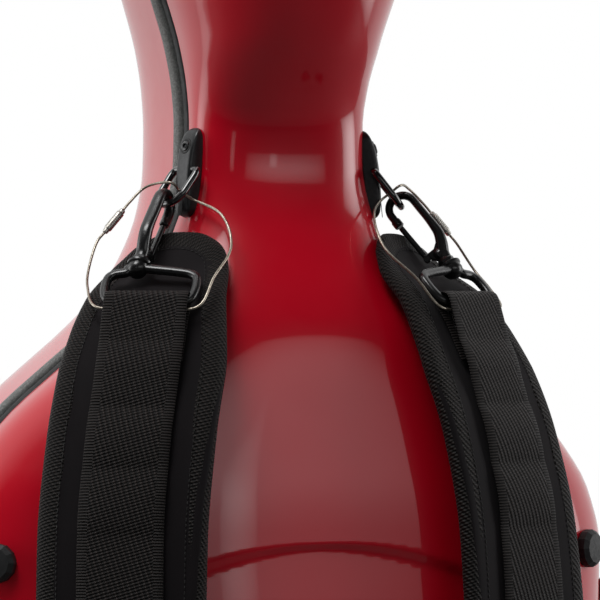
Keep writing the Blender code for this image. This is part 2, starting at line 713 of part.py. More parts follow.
def strap_section(centre, across, normal, half_width, half_thickness, corner):
    """Eight points round a padded section, or four when the corner is nothing."""
    if corner == 0:
        shape = [(1, 1, 0, 0), (-1, 1, 0, 0), (-1, -1, 0, 0), (1, -1, 0, 0)]
    else:
        shape = [(1, 1, 1, 0), (-1, 1, 1, 0), (-1, 1, 0, 1), (-1, -1, 0, 1)]
        shape += [(-1, -1, 1, 0), (1, -1, 1, 0), (1, -1, 0, 1), (1, 1, 0, 1)]
    return [
        centre + a * (half_width - cut_a * corner) * across + b * (half_thickness - cut_b * corner) * normal
        for a, b, cut_a, cut_b in shape
    ]


def make_pad(label, side):
    sections = []
    for height, width, thickness in PAD_ROWS[:, [2, 4, 5]].tolist():
        centre, across, normal, _ = strap_station(PAD_ROWS, height, side)
        sections.append(strap_section(centre, across, normal, width / 2, thickness / 2, thickness / 4))
    finish(f"shoulder_pad_{label}", loft(sections), "fabric")


def half_pad(height):
    """Half the pad's thickness at a height."""
    return 0.5 * float(np.interp(height, PAD_ROWS[::-1, 2], PAD_ROWS[::-1, 5]))


def frame_bar(side):
    """Centre of the webbing bar of the swivel frame, over the pad's face."""
    centre, across, normal, down = strap_station(PAD_ROWS, FRAME_BAR_HEIGHT, side)
    return centre + (half_pad(FRAME_BAR_HEIGHT) + 0.0074) * normal, across, normal, down


def make_strap_frame(label, side):
    bar, across, _, _ = frame_bar(side)
    swivel = hook_frame(side).translation
    reach = bar - swivel
    reach -= reach.dot(across) * across
    length = reach.length
    down = reach.normalized()
    origin = bar - length * down
    turned = frame_matrix(origin, across, down, across.cross(down))
    shift = (swivel - origin).dot(across)
    half = FRAME_HALF_WIDTH
    low = length + 0.0023
    outline = [(shift - 0.0050, 0.0012), (shift + 0.0050, 0.0012), (shift + 0.0055, 0.0050), (half - 0.005, 0.0075)]
    outline += [(half, 0.0120), (half, low - 0.003), (half - 0.003, low)]
    outline += [(-half + 0.003, low), (-half, low - 0.003), (-half, 0.0120), (-half + 0.005, 0.0075)]
    outline += [(shift - 0.0055, 0.0050)]
    inside = half - 0.0030
    hole = [(inside, 0.0125), (inside, low - 0.0046), (-inside, low - 0.0046), (-inside, 0.0125)]
    frame = finish(
        f"strap_frame_{label}",
        prism(outline, [hole], -FRAME_THICKNESS / 2, FRAME_THICKNESS / 2, turned),
        "metal",
    )
    add_bevel(frame, 0.0007)


def wrap(centre, across_normal, along, start_deg, end_deg, steps):
    """Centres and normals of webbing that turns round a bar: angle 0 points along the normal, 90 along."""
    found = []
    for a, b in arc((0, 0), 1.0, start_deg, end_deg, steps):
        direction = a * across_normal + b * along
        found.append((centre + LOOP_RADIUS * direction, direction))
    return found


def web_over_pad(height, above, side):
    """Centre and normal of webbing whose middle lies this far above the pad's face."""
    centre, _, normal, _ = strap_station(PAD_ROWS, height, side)
    return centre + (half_pad(height) + above) * normal, normal


def lower_bar(side):
    """Centre of the lower ring's far bar and the strap's axes there."""
    rows = strap_rows(WEB_LOWER_LINE)
    return strap_station(rows, WEB_LOWER_LINE[-1][2], side)


def make_webbing(label, side):
    """One strip: a tail under the top loop, round the frame's bar, down the pad and round the lower ring."""
    bar, across, normal, down = frame_bar(side)
    flat = 0.0021
    doubled = flat + 0.0024
    tail = ((0.889, flat), (0.901, flat), (0.912, flat + 0.0002))
    face = ((0.912, 0.0092), (0.900, doubled + 0.0016), (0.888, doubled))
    spine = [(centre, -facing) for centre, facing in (web_over_pad(z, above, side) for z, above in tail)]
    spine += wrap(bar, normal, -down, 180, 0, 8)
    spine += [web_over_pad(z, above, side) for z, above in face]
    spine += [web_over_pad(z, flat, side) for z in PAD_ROWS[:, 2].tolist() if 0.500 < z < 0.878]
    rows = strap_rows(WEB_LOWER_LINE)
    for z in (0.455, 0.400, 0.345, 0.300, 0.272):
        centre, _, out, _ = strap_station(rows, z, side)
        spine.append((centre + 0.0014 * out, out))
    end, _, out, end_down = lower_bar(side)
    spine.append((end + 0.0051 * out - 0.008 * end_down, out))
    spine += wrap(end, out, end_down, 0, 180, 8)
    spine.append((end - 0.0040 * out - 0.010 * end_down, -out))
    spine.append((end - 0.0022 * out - 0.030 * end_down, -out))
    sections = []
    for i, (centre, facing) in enumerate(spine):
        height = centre.z
        if height > WEB_LOWER_LINE[0][2]:
            side_axis = strap_station(PAD_ROWS, min(height, 0.965), side)[1]
        else:
            side_axis = strap_station(rows, max(height, WEB_LOWER_LINE[-1][2]), side)[1]
        before = spine[max(i - 1, 0)][0]
        after = spine[min(i + 1, len(spine) - 1)][0]
        along = (after - before).normalized()
        out = side_axis.cross(along).normalized()
        if out.dot(facing) < 0:
            out = -out
        sections.append(strap_section(centre, side_axis, out, WEB_WIDTH / 2, WEB_THICKNESS / 2, 0))
    finish(f"webbing_{label}", loft(sections), "fabric")


def make_adjuster(label, side):
    """A sleeve buckle round the single layer of webbing below the pad."""
    rows = strap_rows(WEB_LOWER_LINE)
    centre, across, normal, down = strap_station(rows, 0.372, side)
    centre = centre + 0.0014 * normal
    turned = frame_matrix(centre, across, normal, across.cross(normal))
    outline = [(0.0315, -0.0040), (0.0315, 0.0040), (-0.0315, 0.0040), (-0.0315, -0.0040)]
    hole = [(0.0280, -0.0020), (0.0280, 0.0020), (-0.0280, 0.0020), (-0.0280, -0.0020)]
    finish(f"adjuster_{label}", prism(outline, [hole], -0.011, 0.011, turned), "metal")


def make_lower_anchor(label, side):
    """The block on the lower bout that holds the lower ring, and the ring itself."""
    end, across, normal, down = lower_bar(side)
    surface = back_frame(side * LOWER_ANCHOR_X, LOWER_ANCHOR_HEIGHT)
    out = surface.to_3x3().col[0]
    out = (out - out.dot(across) * across).normalized()
    rise = out.cross(across)
    if rise.z < 0:
        rise = -rise
    turned = frame_matrix(surface.translation, out, rise, out.cross(rise))
    tunnel = (0.0062, 0.0070)
    outline = [(0.0034, -0.0150), (0.0070, -0.0140), (0.0098, -0.0060), (0.0102, 0.0080), (0.0080, 0.0115)]
    outline += [(0.0034, 0.0125)]
    body = finish(f"lower_anchor_{label}", prism(outline, [circle(tunnel, 0.0029, 10)], -0.020, 0.020, turned), "metal")
    add_bevel(body, 0.0008)
    centre = turned @ Vector((*tunnel, 0))
    axis = turned.to_3x3().col[2].normalized()
    reach = end - centre
    centre += reach.dot(axis) * axis
    reach -= reach.dot(axis) * axis
    length = reach.length
    hang = reach.normalized()
    half = LOWER_RING_HALF_WIDTH
    flat = [(-half + 0.002, 0.0), (half - 0.002, 0.0), (half, 0.0020), (half, length - 0.0020)]
    flat += [(half - 0.002, length), (-half + 0.002, length), (-half, length - 0.0020), (-half, 0.0020)]
    points = [centre + a * axis + h * hang for a, h in flat]
    tube_curve(f"lower_ring_{label}", points, LOWER_RING_ROD, "metal", True, origin=centre)


# --- Safety cables ------------------------------------------------------------------------------

def cable_route(side):
    """Middle line of the safety cable, from one end of its clasp round to the other."""
    centre, ring_across, hang = ring_axes(1)
    through_ring = centre + 0.0165 * hang - 0.0060 * ring_across
    through = ring_across.cross(hang).normalized()
    if through.z < 0:
        through = -through
    bar, across, _, down = frame_bar(1)
    under_bar = bar + 0.0044 * down
    outer, inner = under_bar + 0.0300 * across, under_bar - 0.0300 * across
    clasp, along = clasp_place(1)
    first = clasp - (CLASP_LENGTH / 2 + GAP) * along
    last = clasp + (CLASP_LENGTH / 2 + GAP) * along
    route = [first, first - 0.006 * along, Vector((0.1225, -0.0300, 0.9470)), Vector((0.1270, -0.0430, 0.9360))]
    route += [outer, under_bar, inner, Vector((0.0630, -0.0830, 0.9420)), Vector((0.0480, -0.0700, 0.9600))]
    route += [Vector((0.0480, -0.0530, 0.9790)), through_ring - 0.0070 * through - 0.0034 * ring_across, through_ring]
    route += [through_ring + 0.0070 * through, Vector((0.0840, -0.0200, 0.9960)), last + 0.006 * along, last]
    return [mirrored(point, side) for point in route]


def clasp_place(side):
    """Centre of the clasp and the direction of its barrel, towards the strap ring."""
    return mirrored((0.1040, -0.0200, 0.9755), side), mirrored((-0.66, 0.05, 0.75), side).normalized()


def even_points(route, count):
    """Points at equal distances along a smooth curve through the route."""
    rows = [tuple(route[0])] + [tuple(p) for p in route[1:]]
    fine = rounded_line(rows, 24)
    travelled = np.concatenate([[0.0], np.cumsum(np.linalg.norm(np.diff(fine, axis=0), axis=1))])
    wanted = np.linspace(0, travelled[-1], count)
    return [Vector([float(np.interp(w, travelled, fine[:, k])) for k in range(3)]) for w in wanted]


def rounded_line(rows, samples):
    """Centripetal Catmull-Rom points through all the rows, which rounds a loop without corners."""
    points = np.array(rows, float)
    points = np.vstack([2 * points[0] - points[1], points, 2 * points[-1] - points[-2]])
    found = []
    for i in range(1, len(points) - 2):
        p = points[i - 1:i + 3]
        t = np.concatenate([[0.0], np.cumsum(np.linalg.norm(np.diff(p, axis=0), axis=1) ** 0.5)])
        for k in range(samples):
            s = t[1] + (t[2] - t[1]) * k / samples
            a = [((t[j + 1] - s) * p[j] + (s - t[j]) * p[j + 1]) / (t[j + 1] - t[j]) for j in range(3)]
            b = [((t[j + 2] - s) * a[j] + (s - t[j]) * a[j + 1]) / (t[j + 2] - t[j]) for j in range(2)]
            found.append(((t[2] - s) * b[0] + (s - t[1]) * b[1]) / (t[2] - t[1]))
    found.append(points[-2])
    return np.array(found)


def make_cable(label, side):
    tube_curve(f"safety_cable_{label}", even_points(cable_route(side), CABLE_POINTS), CABLE_DIAMETER / 2, "steel")
    clasp, along = clasp_place(side)
    half = CLASP_LENGTH / 2
    profile = [(0, -half), (0.0019, -half), (0.0019, -half + 0.004), (CLASP_RADIUS, -half + 0.004)]
    profile += [(CLASP_RADIUS, half - 0.004), (0.0019, half - 0.004), (0.0019, half), (0, half)]
    turn = Vector((0, 0, 1)).rotation_difference(along).to_matrix().to_4x4()
    finish(f"cable_clasp_{label}", lathe(profile, 10, Matrix.Translation(clasp) @ turn), "steel")


# --- The whole case -----------------------------------------------------------------------------

def main():
    clear_scene()
    make_shells()
    make_interior()
    for label, height in zip(("lower", "upper"), HINGE_HEIGHTS):
        make_hinge(label, height)
    for number, height in enumerate(LATCH_HEIGHTS, 1):
        make_latch(number, height)
    make_handle()
    make_feet()
    for label, side in SIDES.items():
        make_anchor(label, side)
        make_ring(label, side)
        make_hook(label, side)
        make_pad(label, side)
        make_strap_frame(label, side)
        make_webbing(label, side)
        make_adjuster(label, side)
        make_lower_anchor(label, side)
        make_cable(label, side)


main()
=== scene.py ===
"""The looks of a hard-shell cello case: glossy shells, straps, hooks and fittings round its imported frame.

Lengths are in metres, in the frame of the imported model: +Z up the standing case, -Y out of the back that
carries the straps, +Y out of the lid, +X towards the hinges.
"""
from __future__ import annotations

import logging
import math
from dataclasses import dataclass
from enum import Enum
from typing import Callable, Sequence

import bmesh
import bpy
import numpy as np
from mathutils import Matrix, Vector

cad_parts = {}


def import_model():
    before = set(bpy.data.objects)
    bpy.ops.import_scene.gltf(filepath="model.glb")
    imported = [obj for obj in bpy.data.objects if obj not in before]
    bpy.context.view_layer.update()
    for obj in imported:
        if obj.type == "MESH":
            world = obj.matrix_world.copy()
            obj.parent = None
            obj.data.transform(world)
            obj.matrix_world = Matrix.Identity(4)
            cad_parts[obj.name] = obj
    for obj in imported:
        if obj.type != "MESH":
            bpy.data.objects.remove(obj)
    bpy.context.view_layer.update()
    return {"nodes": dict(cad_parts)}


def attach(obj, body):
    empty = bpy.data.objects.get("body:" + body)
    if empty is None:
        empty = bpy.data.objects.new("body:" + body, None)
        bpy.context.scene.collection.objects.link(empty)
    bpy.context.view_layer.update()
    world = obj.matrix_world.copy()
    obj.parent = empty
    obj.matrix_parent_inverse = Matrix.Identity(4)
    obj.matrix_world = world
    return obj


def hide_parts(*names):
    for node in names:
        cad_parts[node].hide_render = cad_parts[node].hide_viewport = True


LOG = logging.getLogger("cello_case")
Place = Callable[[float, float], Vector]


class Side(Enum):
    """The two sides of the case, as the sign of x."""

    RIGHT = 1
    LEFT = -1

    @property
    def label(self) -> str:
        """The word that ends this side's node names."""
        return self.name.lower()


# --- Curves and rows -----------------------------------------------------------------------------

def smooth_rows(points: Sequence[Sequence[float]], count: int) -> np.ndarray:
    """Rows of a monotone cubic through rows of numbers.

    Args:
        points: The rows, whose first three columns space them.
        count: Samples in each span.

    Returns:
        The sampled rows.
    """
    rows = np.array(points, float)
    step = np.linalg.norm(np.diff(rows[:, :3], axis=0), axis=1)
    rise = np.diff(rows, axis=0) / step[:, None]
    slope = np.zeros_like(rows)
    slope[0], slope[-1] = rise[0], rise[-1]
    product = rise[:-1] * rise[1:]
    total = np.where(product > 0, rise[:-1] + rise[1:], 1.0)
    slope[1:-1] = np.where(product > 0, 2 * product / total, 0.0)
    found = []
    for i, length in enumerate(step):
        for k in range(count):
            u = k / count
            rise_out, rise_in = u**3 - 2 * u**2 + u, u**3 - u**2
            share = 3 * u**2 - 2 * u**3
            row = (1 - share) * rows[i] + share * rows[i + 1]
            found.append(row + length * (rise_out * slope[i] + rise_in * slope[i + 1]))
    found.append(rows[-1])
    return np.array(found)


def rounded_line(points: Sequence[Sequence[float]], samples: int) -> np.ndarray:
    """Centripetal Catmull-Rom points through a route.

    Args:
        points: The route.
        samples: Samples in each span.

    Returns:
        The sampled points.
    """
    p = np.array(points, float)
    p = np.vstack([2 * p[0] - p[1], p, 2 * p[-1] - p[-2]])
    found = []
    for i in range(1, len(p) - 2):
        q = p[i - 1:i + 3]
        t = np.concatenate([[0.0], np.cumsum(np.linalg.norm(np.diff(q, axis=0), axis=1) ** 0.5)])
        for k in range(samples):
            s = t[1] + (t[2] - t[1]) * k / samples
            a = [((t[j + 1] - s) * q[j] + (s - t[j]) * q[j + 1]) / (t[j + 1] - t[j]) for j in range(3)]
            b = [((t[j + 2] - s) * a[j] + (s - t[j]) * a[j + 1]) / (t[j + 2] - t[j]) for j in range(2)]
            found.append(((t[2] - s) * b[0] + (s - t[1]) * b[1]) / (t[2] - t[1]))
    found.append(p[-2])
    return np.array(found)


def arc(
    centre: Sequence[float], radius: float, start: float, end: float, steps: int
) -> list[tuple[float, float]]:
    """Points of a flat arc.

    Args:
        centre: The arc's centre.
        radius: Its radius.
        start: First angle, in degrees.
        end: Last angle, in degrees.
        steps: Steps between them.

    Returns:
        steps + 1 points.
    """
    angles = [math.radians(start + (end - start) * i / steps) for i in range(steps + 1)]
    return [(centre[0] + radius * math.cos(a), centre[1] + radius * math.sin(a)) for a in angles]


def smooth_step(value: float) -> float:
    """A rise from 0 to 1 with level ends, as value goes from 0 to 1."""
    t = min(1.0, max(0.0, value))
    return t * t * (3 - 2 * t)


def spaced(line: np.ndarray, count: int, closed: bool = False) -> np.ndarray:
    """Points at equal distances along a line.

    Args:
        line: The line's points.
        count: How many points to return.
        closed: Whether the line returns to its start.

    Returns:
        count points; a closed line's last point isn't its first again.
    """
    points = np.vstack([line, line[:1]]) if closed else np.asarray(line, float)
    travelled = np.concatenate([[0.0], np.cumsum(np.linalg.norm(np.diff(points, axis=0), axis=1))])
    wanted = np.linspace(0, travelled[-1], count, endpoint=not closed)
    return np.column_stack([np.interp(wanted, travelled, points[:, k]) for k in range(points.shape[1])])


def line_length(line: np.ndarray) -> float:
    """The length of a line of points."""
    return float(np.linalg.norm(np.diff(line, axis=0), axis=1).sum())


def axes_matrix(origin: Sequence[float], x: Vector, y: Vector, z: Vector) -> Matrix:
    """The matrix that takes local coordinates to a place with these axes."""
    rows = [[x[k], y[k], z[k], origin[k]] for k in range(3)]
    return Matrix((*rows, (0, 0, 0, 1)))


# --- Meshes --------------------------------------------------------------------------------------

def skin(
    spans: tuple[int, int], place: Place, closed: bool = False, size: tuple[float, float] = (1.0, 1.0)
) -> bmesh.types.BMesh:
    """A grid laid over a surface, with a UV map in metres.

    Args:
        spans: Faces along u and along v.
        place: The surface's point at u and v, each from 0 to 1.
        closed: Whether the surface closes on itself, so that its normals are made to point outwards.
        size: The length of the surface along u and v, for the UV map.

    Returns:
        The mesh, with its meeting edges and its poles merged.
    """
    mesh = bmesh.new()
    cloth = mesh.loops.layers.uv.new("cloth")
    bmesh.ops.create_grid(mesh, x_segments=spans[0], y_segments=spans[1], size=0.5)
    for face in mesh.faces:
        for loop in face.loops:
            spot = loop.vert.co
            loop[cloth].uv = ((spot.x + 0.5) * size[0], (spot.y + 0.5) * size[1])
    for vert in mesh.verts:
        vert.co = place(vert.co.x + 0.5, vert.co.y + 0.5)
    bmesh.ops.remove_doubles(mesh, verts=mesh.verts, dist=1e-6)
    bmesh.ops.dissolve_degenerate(mesh, edges=mesh.edges, dist=1e-7)
    if closed:
        ends = [edge for edge in mesh.edges if edge.is_boundary]
        if ends:
            bmesh.ops.holes_fill(mesh, edges=ends, sides=0)
        bmesh.ops.recalc_face_normals(mesh, faces=mesh.faces)
    return mesh


def path_frames(line: np.ndarray, closed: bool, side: Vector | None) -> list[tuple[Vector, Vector, Vector]]:
    """A point, a normal and a binormal at each point of a line.

    Args:
        line: The points.
        closed: Whether the line returns to its start.
        side: The binormal of a flat line, or None for axes carried along without twist.

    Returns:
        The frames.
    """
    count = len(line)
    found: list[tuple[Vector, Vector, Vector]] = []
    carried = Vector((0, 0, 1))
    for i in range(count):
        before = line[i - 1] if closed or i else line[0]
        after = line[(i + 1) % count] if closed or i < count - 1 else line[-1]
        along = Vector(after - before).normalized()
        if side is None:
            if not found and abs(along.z) > 0.9:
                carried = Vector((1, 0, 0))
            normal = (carried - carried.dot(along) * along).normalized()
            carried = normal
            binormal = along.cross(normal)
        else:
            binormal = side
            normal = side.cross(along).normalized()
        found.append((Vector(line[i]), normal, binormal))
    return found


def sweep(
    line: np.ndarray,
    section: Callable[[float, float], tuple[float, float]],
    around: int,
    closed: bool = False,
    side: Vector | None = None,
    size: tuple[float, float] = (1.0, 1.0),
) -> bmesh.types.BMesh:
    """A closed body swept along a line.

    Args:
        line: The middle line, evenly spaced.
        section: The offsets along the normal and binormal, at a share of a turn and of the length.
        around: Faces round the section.
        closed: Whether the line returns to its start.
        side: The binormal of a flat line.
        size: The UV map's size, round and along.

    Returns:
        The mesh.
    """
    frames = path_frames(line, closed, side)
    if closed:
        frames.append(frames[0])
    count = len(frames) - 1

    def place(u: float, v: float) -> Vector:
        """The swept surface's point."""
        spot, normal, binormal = frames[min(count, round(v * count))]
        a, b = section(u % 1.0, v)
        return spot + a * normal + b * binormal

    return skin((around, count), place, True, size)


def round_section(radius: float) -> Callable[[float, float], tuple[float, float]]:
    """A round section of one radius."""
    return lambda u, v: (radius * math.cos(2 * math.pi * u), radius * math.sin(2 * math.pi * u))


def box_section(
    half_a: float, half_b: float, power: float, scale: Callable[[float], float] = lambda v: 1.0
) -> Callable[[float, float], tuple[float, float]]:
    """A rounded box section.

    Args:
        half_a: Half its height.
        half_b: Half its thickness.
        power: 2 for an ellipse, more for squarer.
        scale: Its size at a share of the length.

    Returns:
        The section.
    """

    def section(u: float, v: float) -> tuple[float, float]:
        """The section's point."""
        c, s = math.cos(2 * math.pi * u), math.sin(2 * math.pi * u)
        a = half_a * scale(v) * math.copysign(abs(c) ** (2 / power), c)
        return a, half_b * scale(v) * math.copysign(abs(s) ** (2 / power), s)

    return section


def lathe(profile: Sequence[tuple[float, float]], steps: int, place: Matrix) -> bmesh.types.BMesh:
    """A turned body.

    Args:
        profile: Radius and height, from one end of the axis to the other.
        steps: Faces round it.
        place: Where its local z axis goes.

    Returns:
        The mesh.
    """
    mesh = bmesh.new()
    mesh.loops.layers.uv.new("cloth")
    verts = [mesh.verts.new((radius, 0, height)) for radius, height in profile]
    edges = [mesh.edges.new(pair) for pair in zip(verts, verts[1:])]
    bmesh.ops.spin(
        mesh, geom=verts + edges, cent=(0, 0, 0), axis=(0, 0, 1), angle=2 * math.pi, steps=steps,
        use_merge=True
    )
    bmesh.ops.remove_doubles(mesh, verts=mesh.verts, dist=1e-6)
    bmesh.ops.recalc_face_normals(mesh, faces=mesh.faces)
    bmesh.ops.transform(mesh, matrix=place, verts=mesh.verts)
    return mesh


def slab(
    outline: Sequence[tuple[float, float]], low: float, high: float, bevel: float, place: Matrix
) -> bmesh.types.BMesh:
    """An outline raised into a solid with rounded edges.

    Args:
        outline: Its points, in local x and y.
        low: Local z of its base.
        high: Local z of its top.
        bevel: The rounding of its edges.
        place: Where its local axes go.

    Returns:
        The mesh.
    """
    mesh = bmesh.new()
    mesh.loops.layers.uv.new("cloth")
    base = mesh.faces.new([mesh.verts.new((x, y, low)) for x, y in outline])
    raised = bmesh.ops.extrude_face_region(mesh, geom=[base])["geom"]
    top = [part for part in raised if isinstance(part, bmesh.types.BMVert)]
    bmesh.ops.translate(mesh, vec=(0, 0, high - low), verts=top)
    bmesh.ops.recalc_face_normals(mesh, faces=mesh.faces)
    if bevel:
        rims = [edge for edge in mesh.edges if abs(edge.verts[0].co.z - edge.verts[1].co.z) < 1e-9]
        bmesh.ops.bevel(mesh, geom=rims, offset=bevel, segments=3, profile=0.5, affect="EDGES", material=-1)
    bmesh.ops.transform(mesh, matrix=place, verts=mesh.verts)
    return mesh


def joined(*meshes: bmesh.types.BMesh) -> bmesh.types.BMesh:
    """One mesh of several, which are freed."""
    whole = meshes[0]
    for mesh in meshes[1:]:
        spare = bpy.data.meshes.new("spare")
        mesh.to_mesh(spare)
        whole.from_mesh(spare)
        bpy.data.meshes.remove(spare)
        mesh.free()
    return whole


def piece(
    name: str,
    mesh: bmesh.types.BMesh,
    look: bpy.types.Material,
    body: str,
    slot: str,
    nodes: Sequence[str] = (),
    crease: float = 40.0,
) -> bpy.types.Object:
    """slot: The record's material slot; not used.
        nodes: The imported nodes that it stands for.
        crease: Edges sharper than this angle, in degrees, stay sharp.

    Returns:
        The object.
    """
    data = bpy.data.meshes.new(name)
    mesh.to_mesh(data)
    mesh.free()
    data.shade_smooth()
    data.set_sharp_from_angle(angle=math.radians(crease))
    data.materials.append(look)
    obj = bpy.data.objects.new(name, data)
    bpy.context.scene.collection.objects.link(obj)
    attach(obj, body)
    if nodes:
        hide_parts(*nodes)
    LOG.info("%s: %d faces on %s", name, len(data.polygons), body)
    return obj


def subdivide(obj: bpy.types.Object, levels: int = 1) -> None:
    """Gives a piece a Subdivision Surface that renders as it shows."""
    smooth = obj.modifiers.new("round", "SUBSURF")
    smooth.levels = levels
    smooth.render_levels = levels


# --- Finishes ------------------------------------------------------------------------------------

@dataclass(frozen=True)
class Moulding:
    """A moulded, cast or enamelled finish."""

    name: str
    colour: tuple[float, float, float]
    fleck: tuple[float, float, float]
    roughness: float
    grain: float
    relief: float
    metallic: float = 0.0
    coat: float = 0.0


@dataclass(frozen=True)
class Cloth:
    """A woven finish, whose pattern follows the UV map in metres."""

    name: str
    # colour is painted shade in the gaps between threads; thread is the raised threads' colour, lightened
    # with painted light.
    colour: tuple[float, float, float]
    thread: tuple[float, float, float]
    rib_pitch: float
    rib_lean: float
    bead_pitch: float
    relief: float
    width: float
    selvedge: float
    roughness: float = 0.62


def new_material(name: str) -> tuple[bpy.types.Material, bpy.types.Nodes, bpy.types.NodeLinks]:
    """A material with an empty node tree.

    Args:
        name: Its name.

    Returns:
        The material, its nodes and its links.
    """
    material = bpy.data.materials.new(name)
    material.use_nodes = True
    material.node_tree.nodes.clear()
    return material, material.node_tree.nodes, material.node_tree.links


def gel_coat(
    name: str, colour: tuple[float, float, float], deep: tuple[float, float, float]
) -> bpy.types.Material:
    """Pigmented gel coat under clear lacquer: a deep colour, a faint orange peel and fine dust marks.

    Args:
        name: The material's name.
        colour: The pigment.
        deep: The pigment where it lies thicker.

    Returns:
        The material.
    """
    material, nodes, links = new_material(name)
    colour_frame = nodes.new("NodeFrame")
    colour_frame.label = "Pigment depth"
    peel_frame = nodes.new("NodeFrame")
    peel_frame.label = "Orange peel"
    place = nodes.new("ShaderNodeTexCoord")
    place.label = "Place on the case"
    place.location = (-1100, 0)
    depth = nodes.new("ShaderNodeTexNoise")
    depth.label = "Slow change of pigment depth"
    depth.location = (-850, 200)
    depth.parent = colour_frame
    depth.inputs["Scale"].default_value = 3.0
    depth.inputs["Detail"].default_value = 2.0
    pigment = nodes.new("ShaderNodeMix")
    pigment.label = "Pigment"
    pigment.data_type = "RGBA"
    pigment.location = (-600, 200)
    pigment.parent = colour_frame
    pigment.inputs["A"].default_value = (*colour, 1)
    pigment.inputs["B"].default_value = (*deep, 1)
    marks = nodes.new("ShaderNodeTexNoise")
    marks.label = "Handling marks in the lacquer"
    marks.location = (-850, -80)
    marks.inputs["Scale"].default_value = 55.0
    marks.inputs["Detail"].default_value = 5.0
    gloss = nodes.new("ShaderNodeMapRange")
    gloss.label = "Gloss under the marks"
    gloss.location = (-600, -80)
    gloss.inputs["From Min"].default_value = 0.35
    gloss.inputs["From Max"].default_value = 0.75
    gloss.inputs["To Min"].default_value = 0.30
    gloss.inputs["To Max"].default_value = 0.36
    peel = nodes.new("ShaderNodeTexNoise")
    peel.label = "Ripple of the lacquer"
    peel.location = (-850, -360)
    peel.parent = peel_frame
    peel.inputs["Scale"].default_value = 90.0
    peel.inputs["Detail"].default_value = 1.0
    ripple = nodes.new("ShaderNodeBump")
    ripple.label = "Orange peel relief"
    ripple.location = (-600, -360)
    ripple.parent = peel_frame
    ripple.inputs["Strength"].default_value = 0.05
    ripple.inputs["Distance"].default_value = 0.0002
    shader = nodes.new("ShaderNodeBsdfPrincipled")
    shader.label = "Lacquered gel coat"
    shader.location = (-300, 100)
    shader.inputs["Coat Weight"].default_value = 1.0
    shader.inputs["Coat Roughness"].default_value = 0.025
    shader.inputs["Coat IOR"].default_value = 1.5
    shader.inputs["Specular IOR Level"].default_value = 0.25
    out = nodes.new("ShaderNodeOutputMaterial")
    out.label = "Surface"
    out.location = (0, 100)
    links.new(place.outputs["Object"], depth.inputs["Vector"])
    links.new(place.outputs["Object"], marks.inputs["Vector"])
    links.new(place.outputs["Object"], peel.inputs["Vector"])
    links.new(depth.outputs["Fac"], pigment.inputs["Factor"])
    links.new(pigment.outputs["Result"], shader.inputs["Base Color"])
    links.new(marks.outputs["Fac"], gloss.inputs["Value"])
    links.new(gloss.outputs["Result"], shader.inputs["Roughness"])
    links.new(peel.outputs["Fac"], ripple.inputs["Height"])
    links.new(ripple.outputs["Normal"], shader.inputs["Coat Normal"])
    links.new(shader.outputs["BSDF"], out.inputs["Surface"])
    return material


def moulded(finish: Moulding) -> bpy.types.Material:
    """A moulded, cast or enamelled surface: fleck, grain relief and rubbed high spots.

    Args:
        finish: Its values.

    Returns:
        The material.
    """
    material, nodes, links = new_material(finish.name)
    fleck_frame = nodes.new("NodeFrame")
    fleck_frame.label = "Fleck"
    grain_frame = nodes.new("NodeFrame")
    grain_frame.label = "Grain relief"
    place = nodes.new("ShaderNodeTexCoord")
    place.label = "Place on the piece"
    place.location = (-1100, 0)
    cloud = nodes.new("ShaderNodeTexNoise")
    cloud.label = "Rubbed and dusty patches"
    cloud.location = (-850, 220)
    cloud.parent = fleck_frame
    cloud.inputs["Scale"].default_value = 0.5 * finish.grain
    cloud.inputs["Detail"].default_value = 6.0
    cloud.inputs["Roughness"].default_value = 0.65
    tone = nodes.new("ShaderNodeValToRGB")
    tone.label = "Ground to fleck"
    tone.location = (-600, 220)
    tone.parent = fleck_frame
    tone.color_ramp.elements[0].position = 0.42
    tone.color_ramp.elements[0].color = (*finish.colour, 1)
    tone.color_ramp.elements[1].position = 0.72
    tone.color_ramp.elements[1].color = (*finish.fleck, 1)
    polish = nodes.new("ShaderNodeMapRange")
    polish.label = "Rubbed spots are smoother"
    polish.location = (-600, -60)
    polish.parent = fleck_frame
    polish.inputs["From Min"].default_value = 0.3
    polish.inputs["From Max"].default_value = 0.7
    polish.inputs["To Min"].default_value = min(1.0, finish.roughness * 1.12)
    polish.inputs["To Max"].default_value = finish.roughness * 0.85
    grain = nodes.new("ShaderNodeTexNoise")
    grain.label = "Mould grain"
    grain.location = (-850, -340)
    grain.parent = grain_frame
    grain.inputs["Scale"].default_value = finish.grain
    grain.inputs["Detail"].default_value = 3.0
    relief = nodes.new("ShaderNodeBump")
    relief.label = "Grain relief"
    relief.location = (-600, -340)
    relief.parent = grain_frame
    relief.inputs["Strength"].default_value = 0.6
    relief.inputs["Distance"].default_value = finish.relief
    shader = nodes.new("ShaderNodeBsdfPrincipled")
    shader.label = finish.name
    shader.location = (-300, 100)
    shader.inputs["Metallic"].default_value = finish.metallic
    shader.inputs["Coat Weight"].default_value = finish.coat
    shader.inputs["Coat Roughness"].default_value = 0.12
    out = nodes.new("ShaderNodeOutputMaterial")
    out.label = "Surface"
    out.location = (0, 100)
    links.new(place.outputs["Object"], cloud.inputs["Vector"])
    links.new(place.outputs["Object"], grain.inputs["Vector"])
    links.new(cloud.outputs["Fac"], tone.inputs["Fac"])
    links.new(tone.outputs["Color"], shader.inputs["Base Color"])
    links.new(cloud.outputs["Fac"], polish.inputs["Value"])
    links.new(polish.outputs["Result"], shader.inputs["Roughness"])
    links.new(grain.outputs["Fac"], relief.inputs["Height"])
    links.new(relief.outputs["Normal"], shader.inputs["Normal"])
    links.new(shader.outputs["BSDF"], out.inputs["Surface"])
    return material


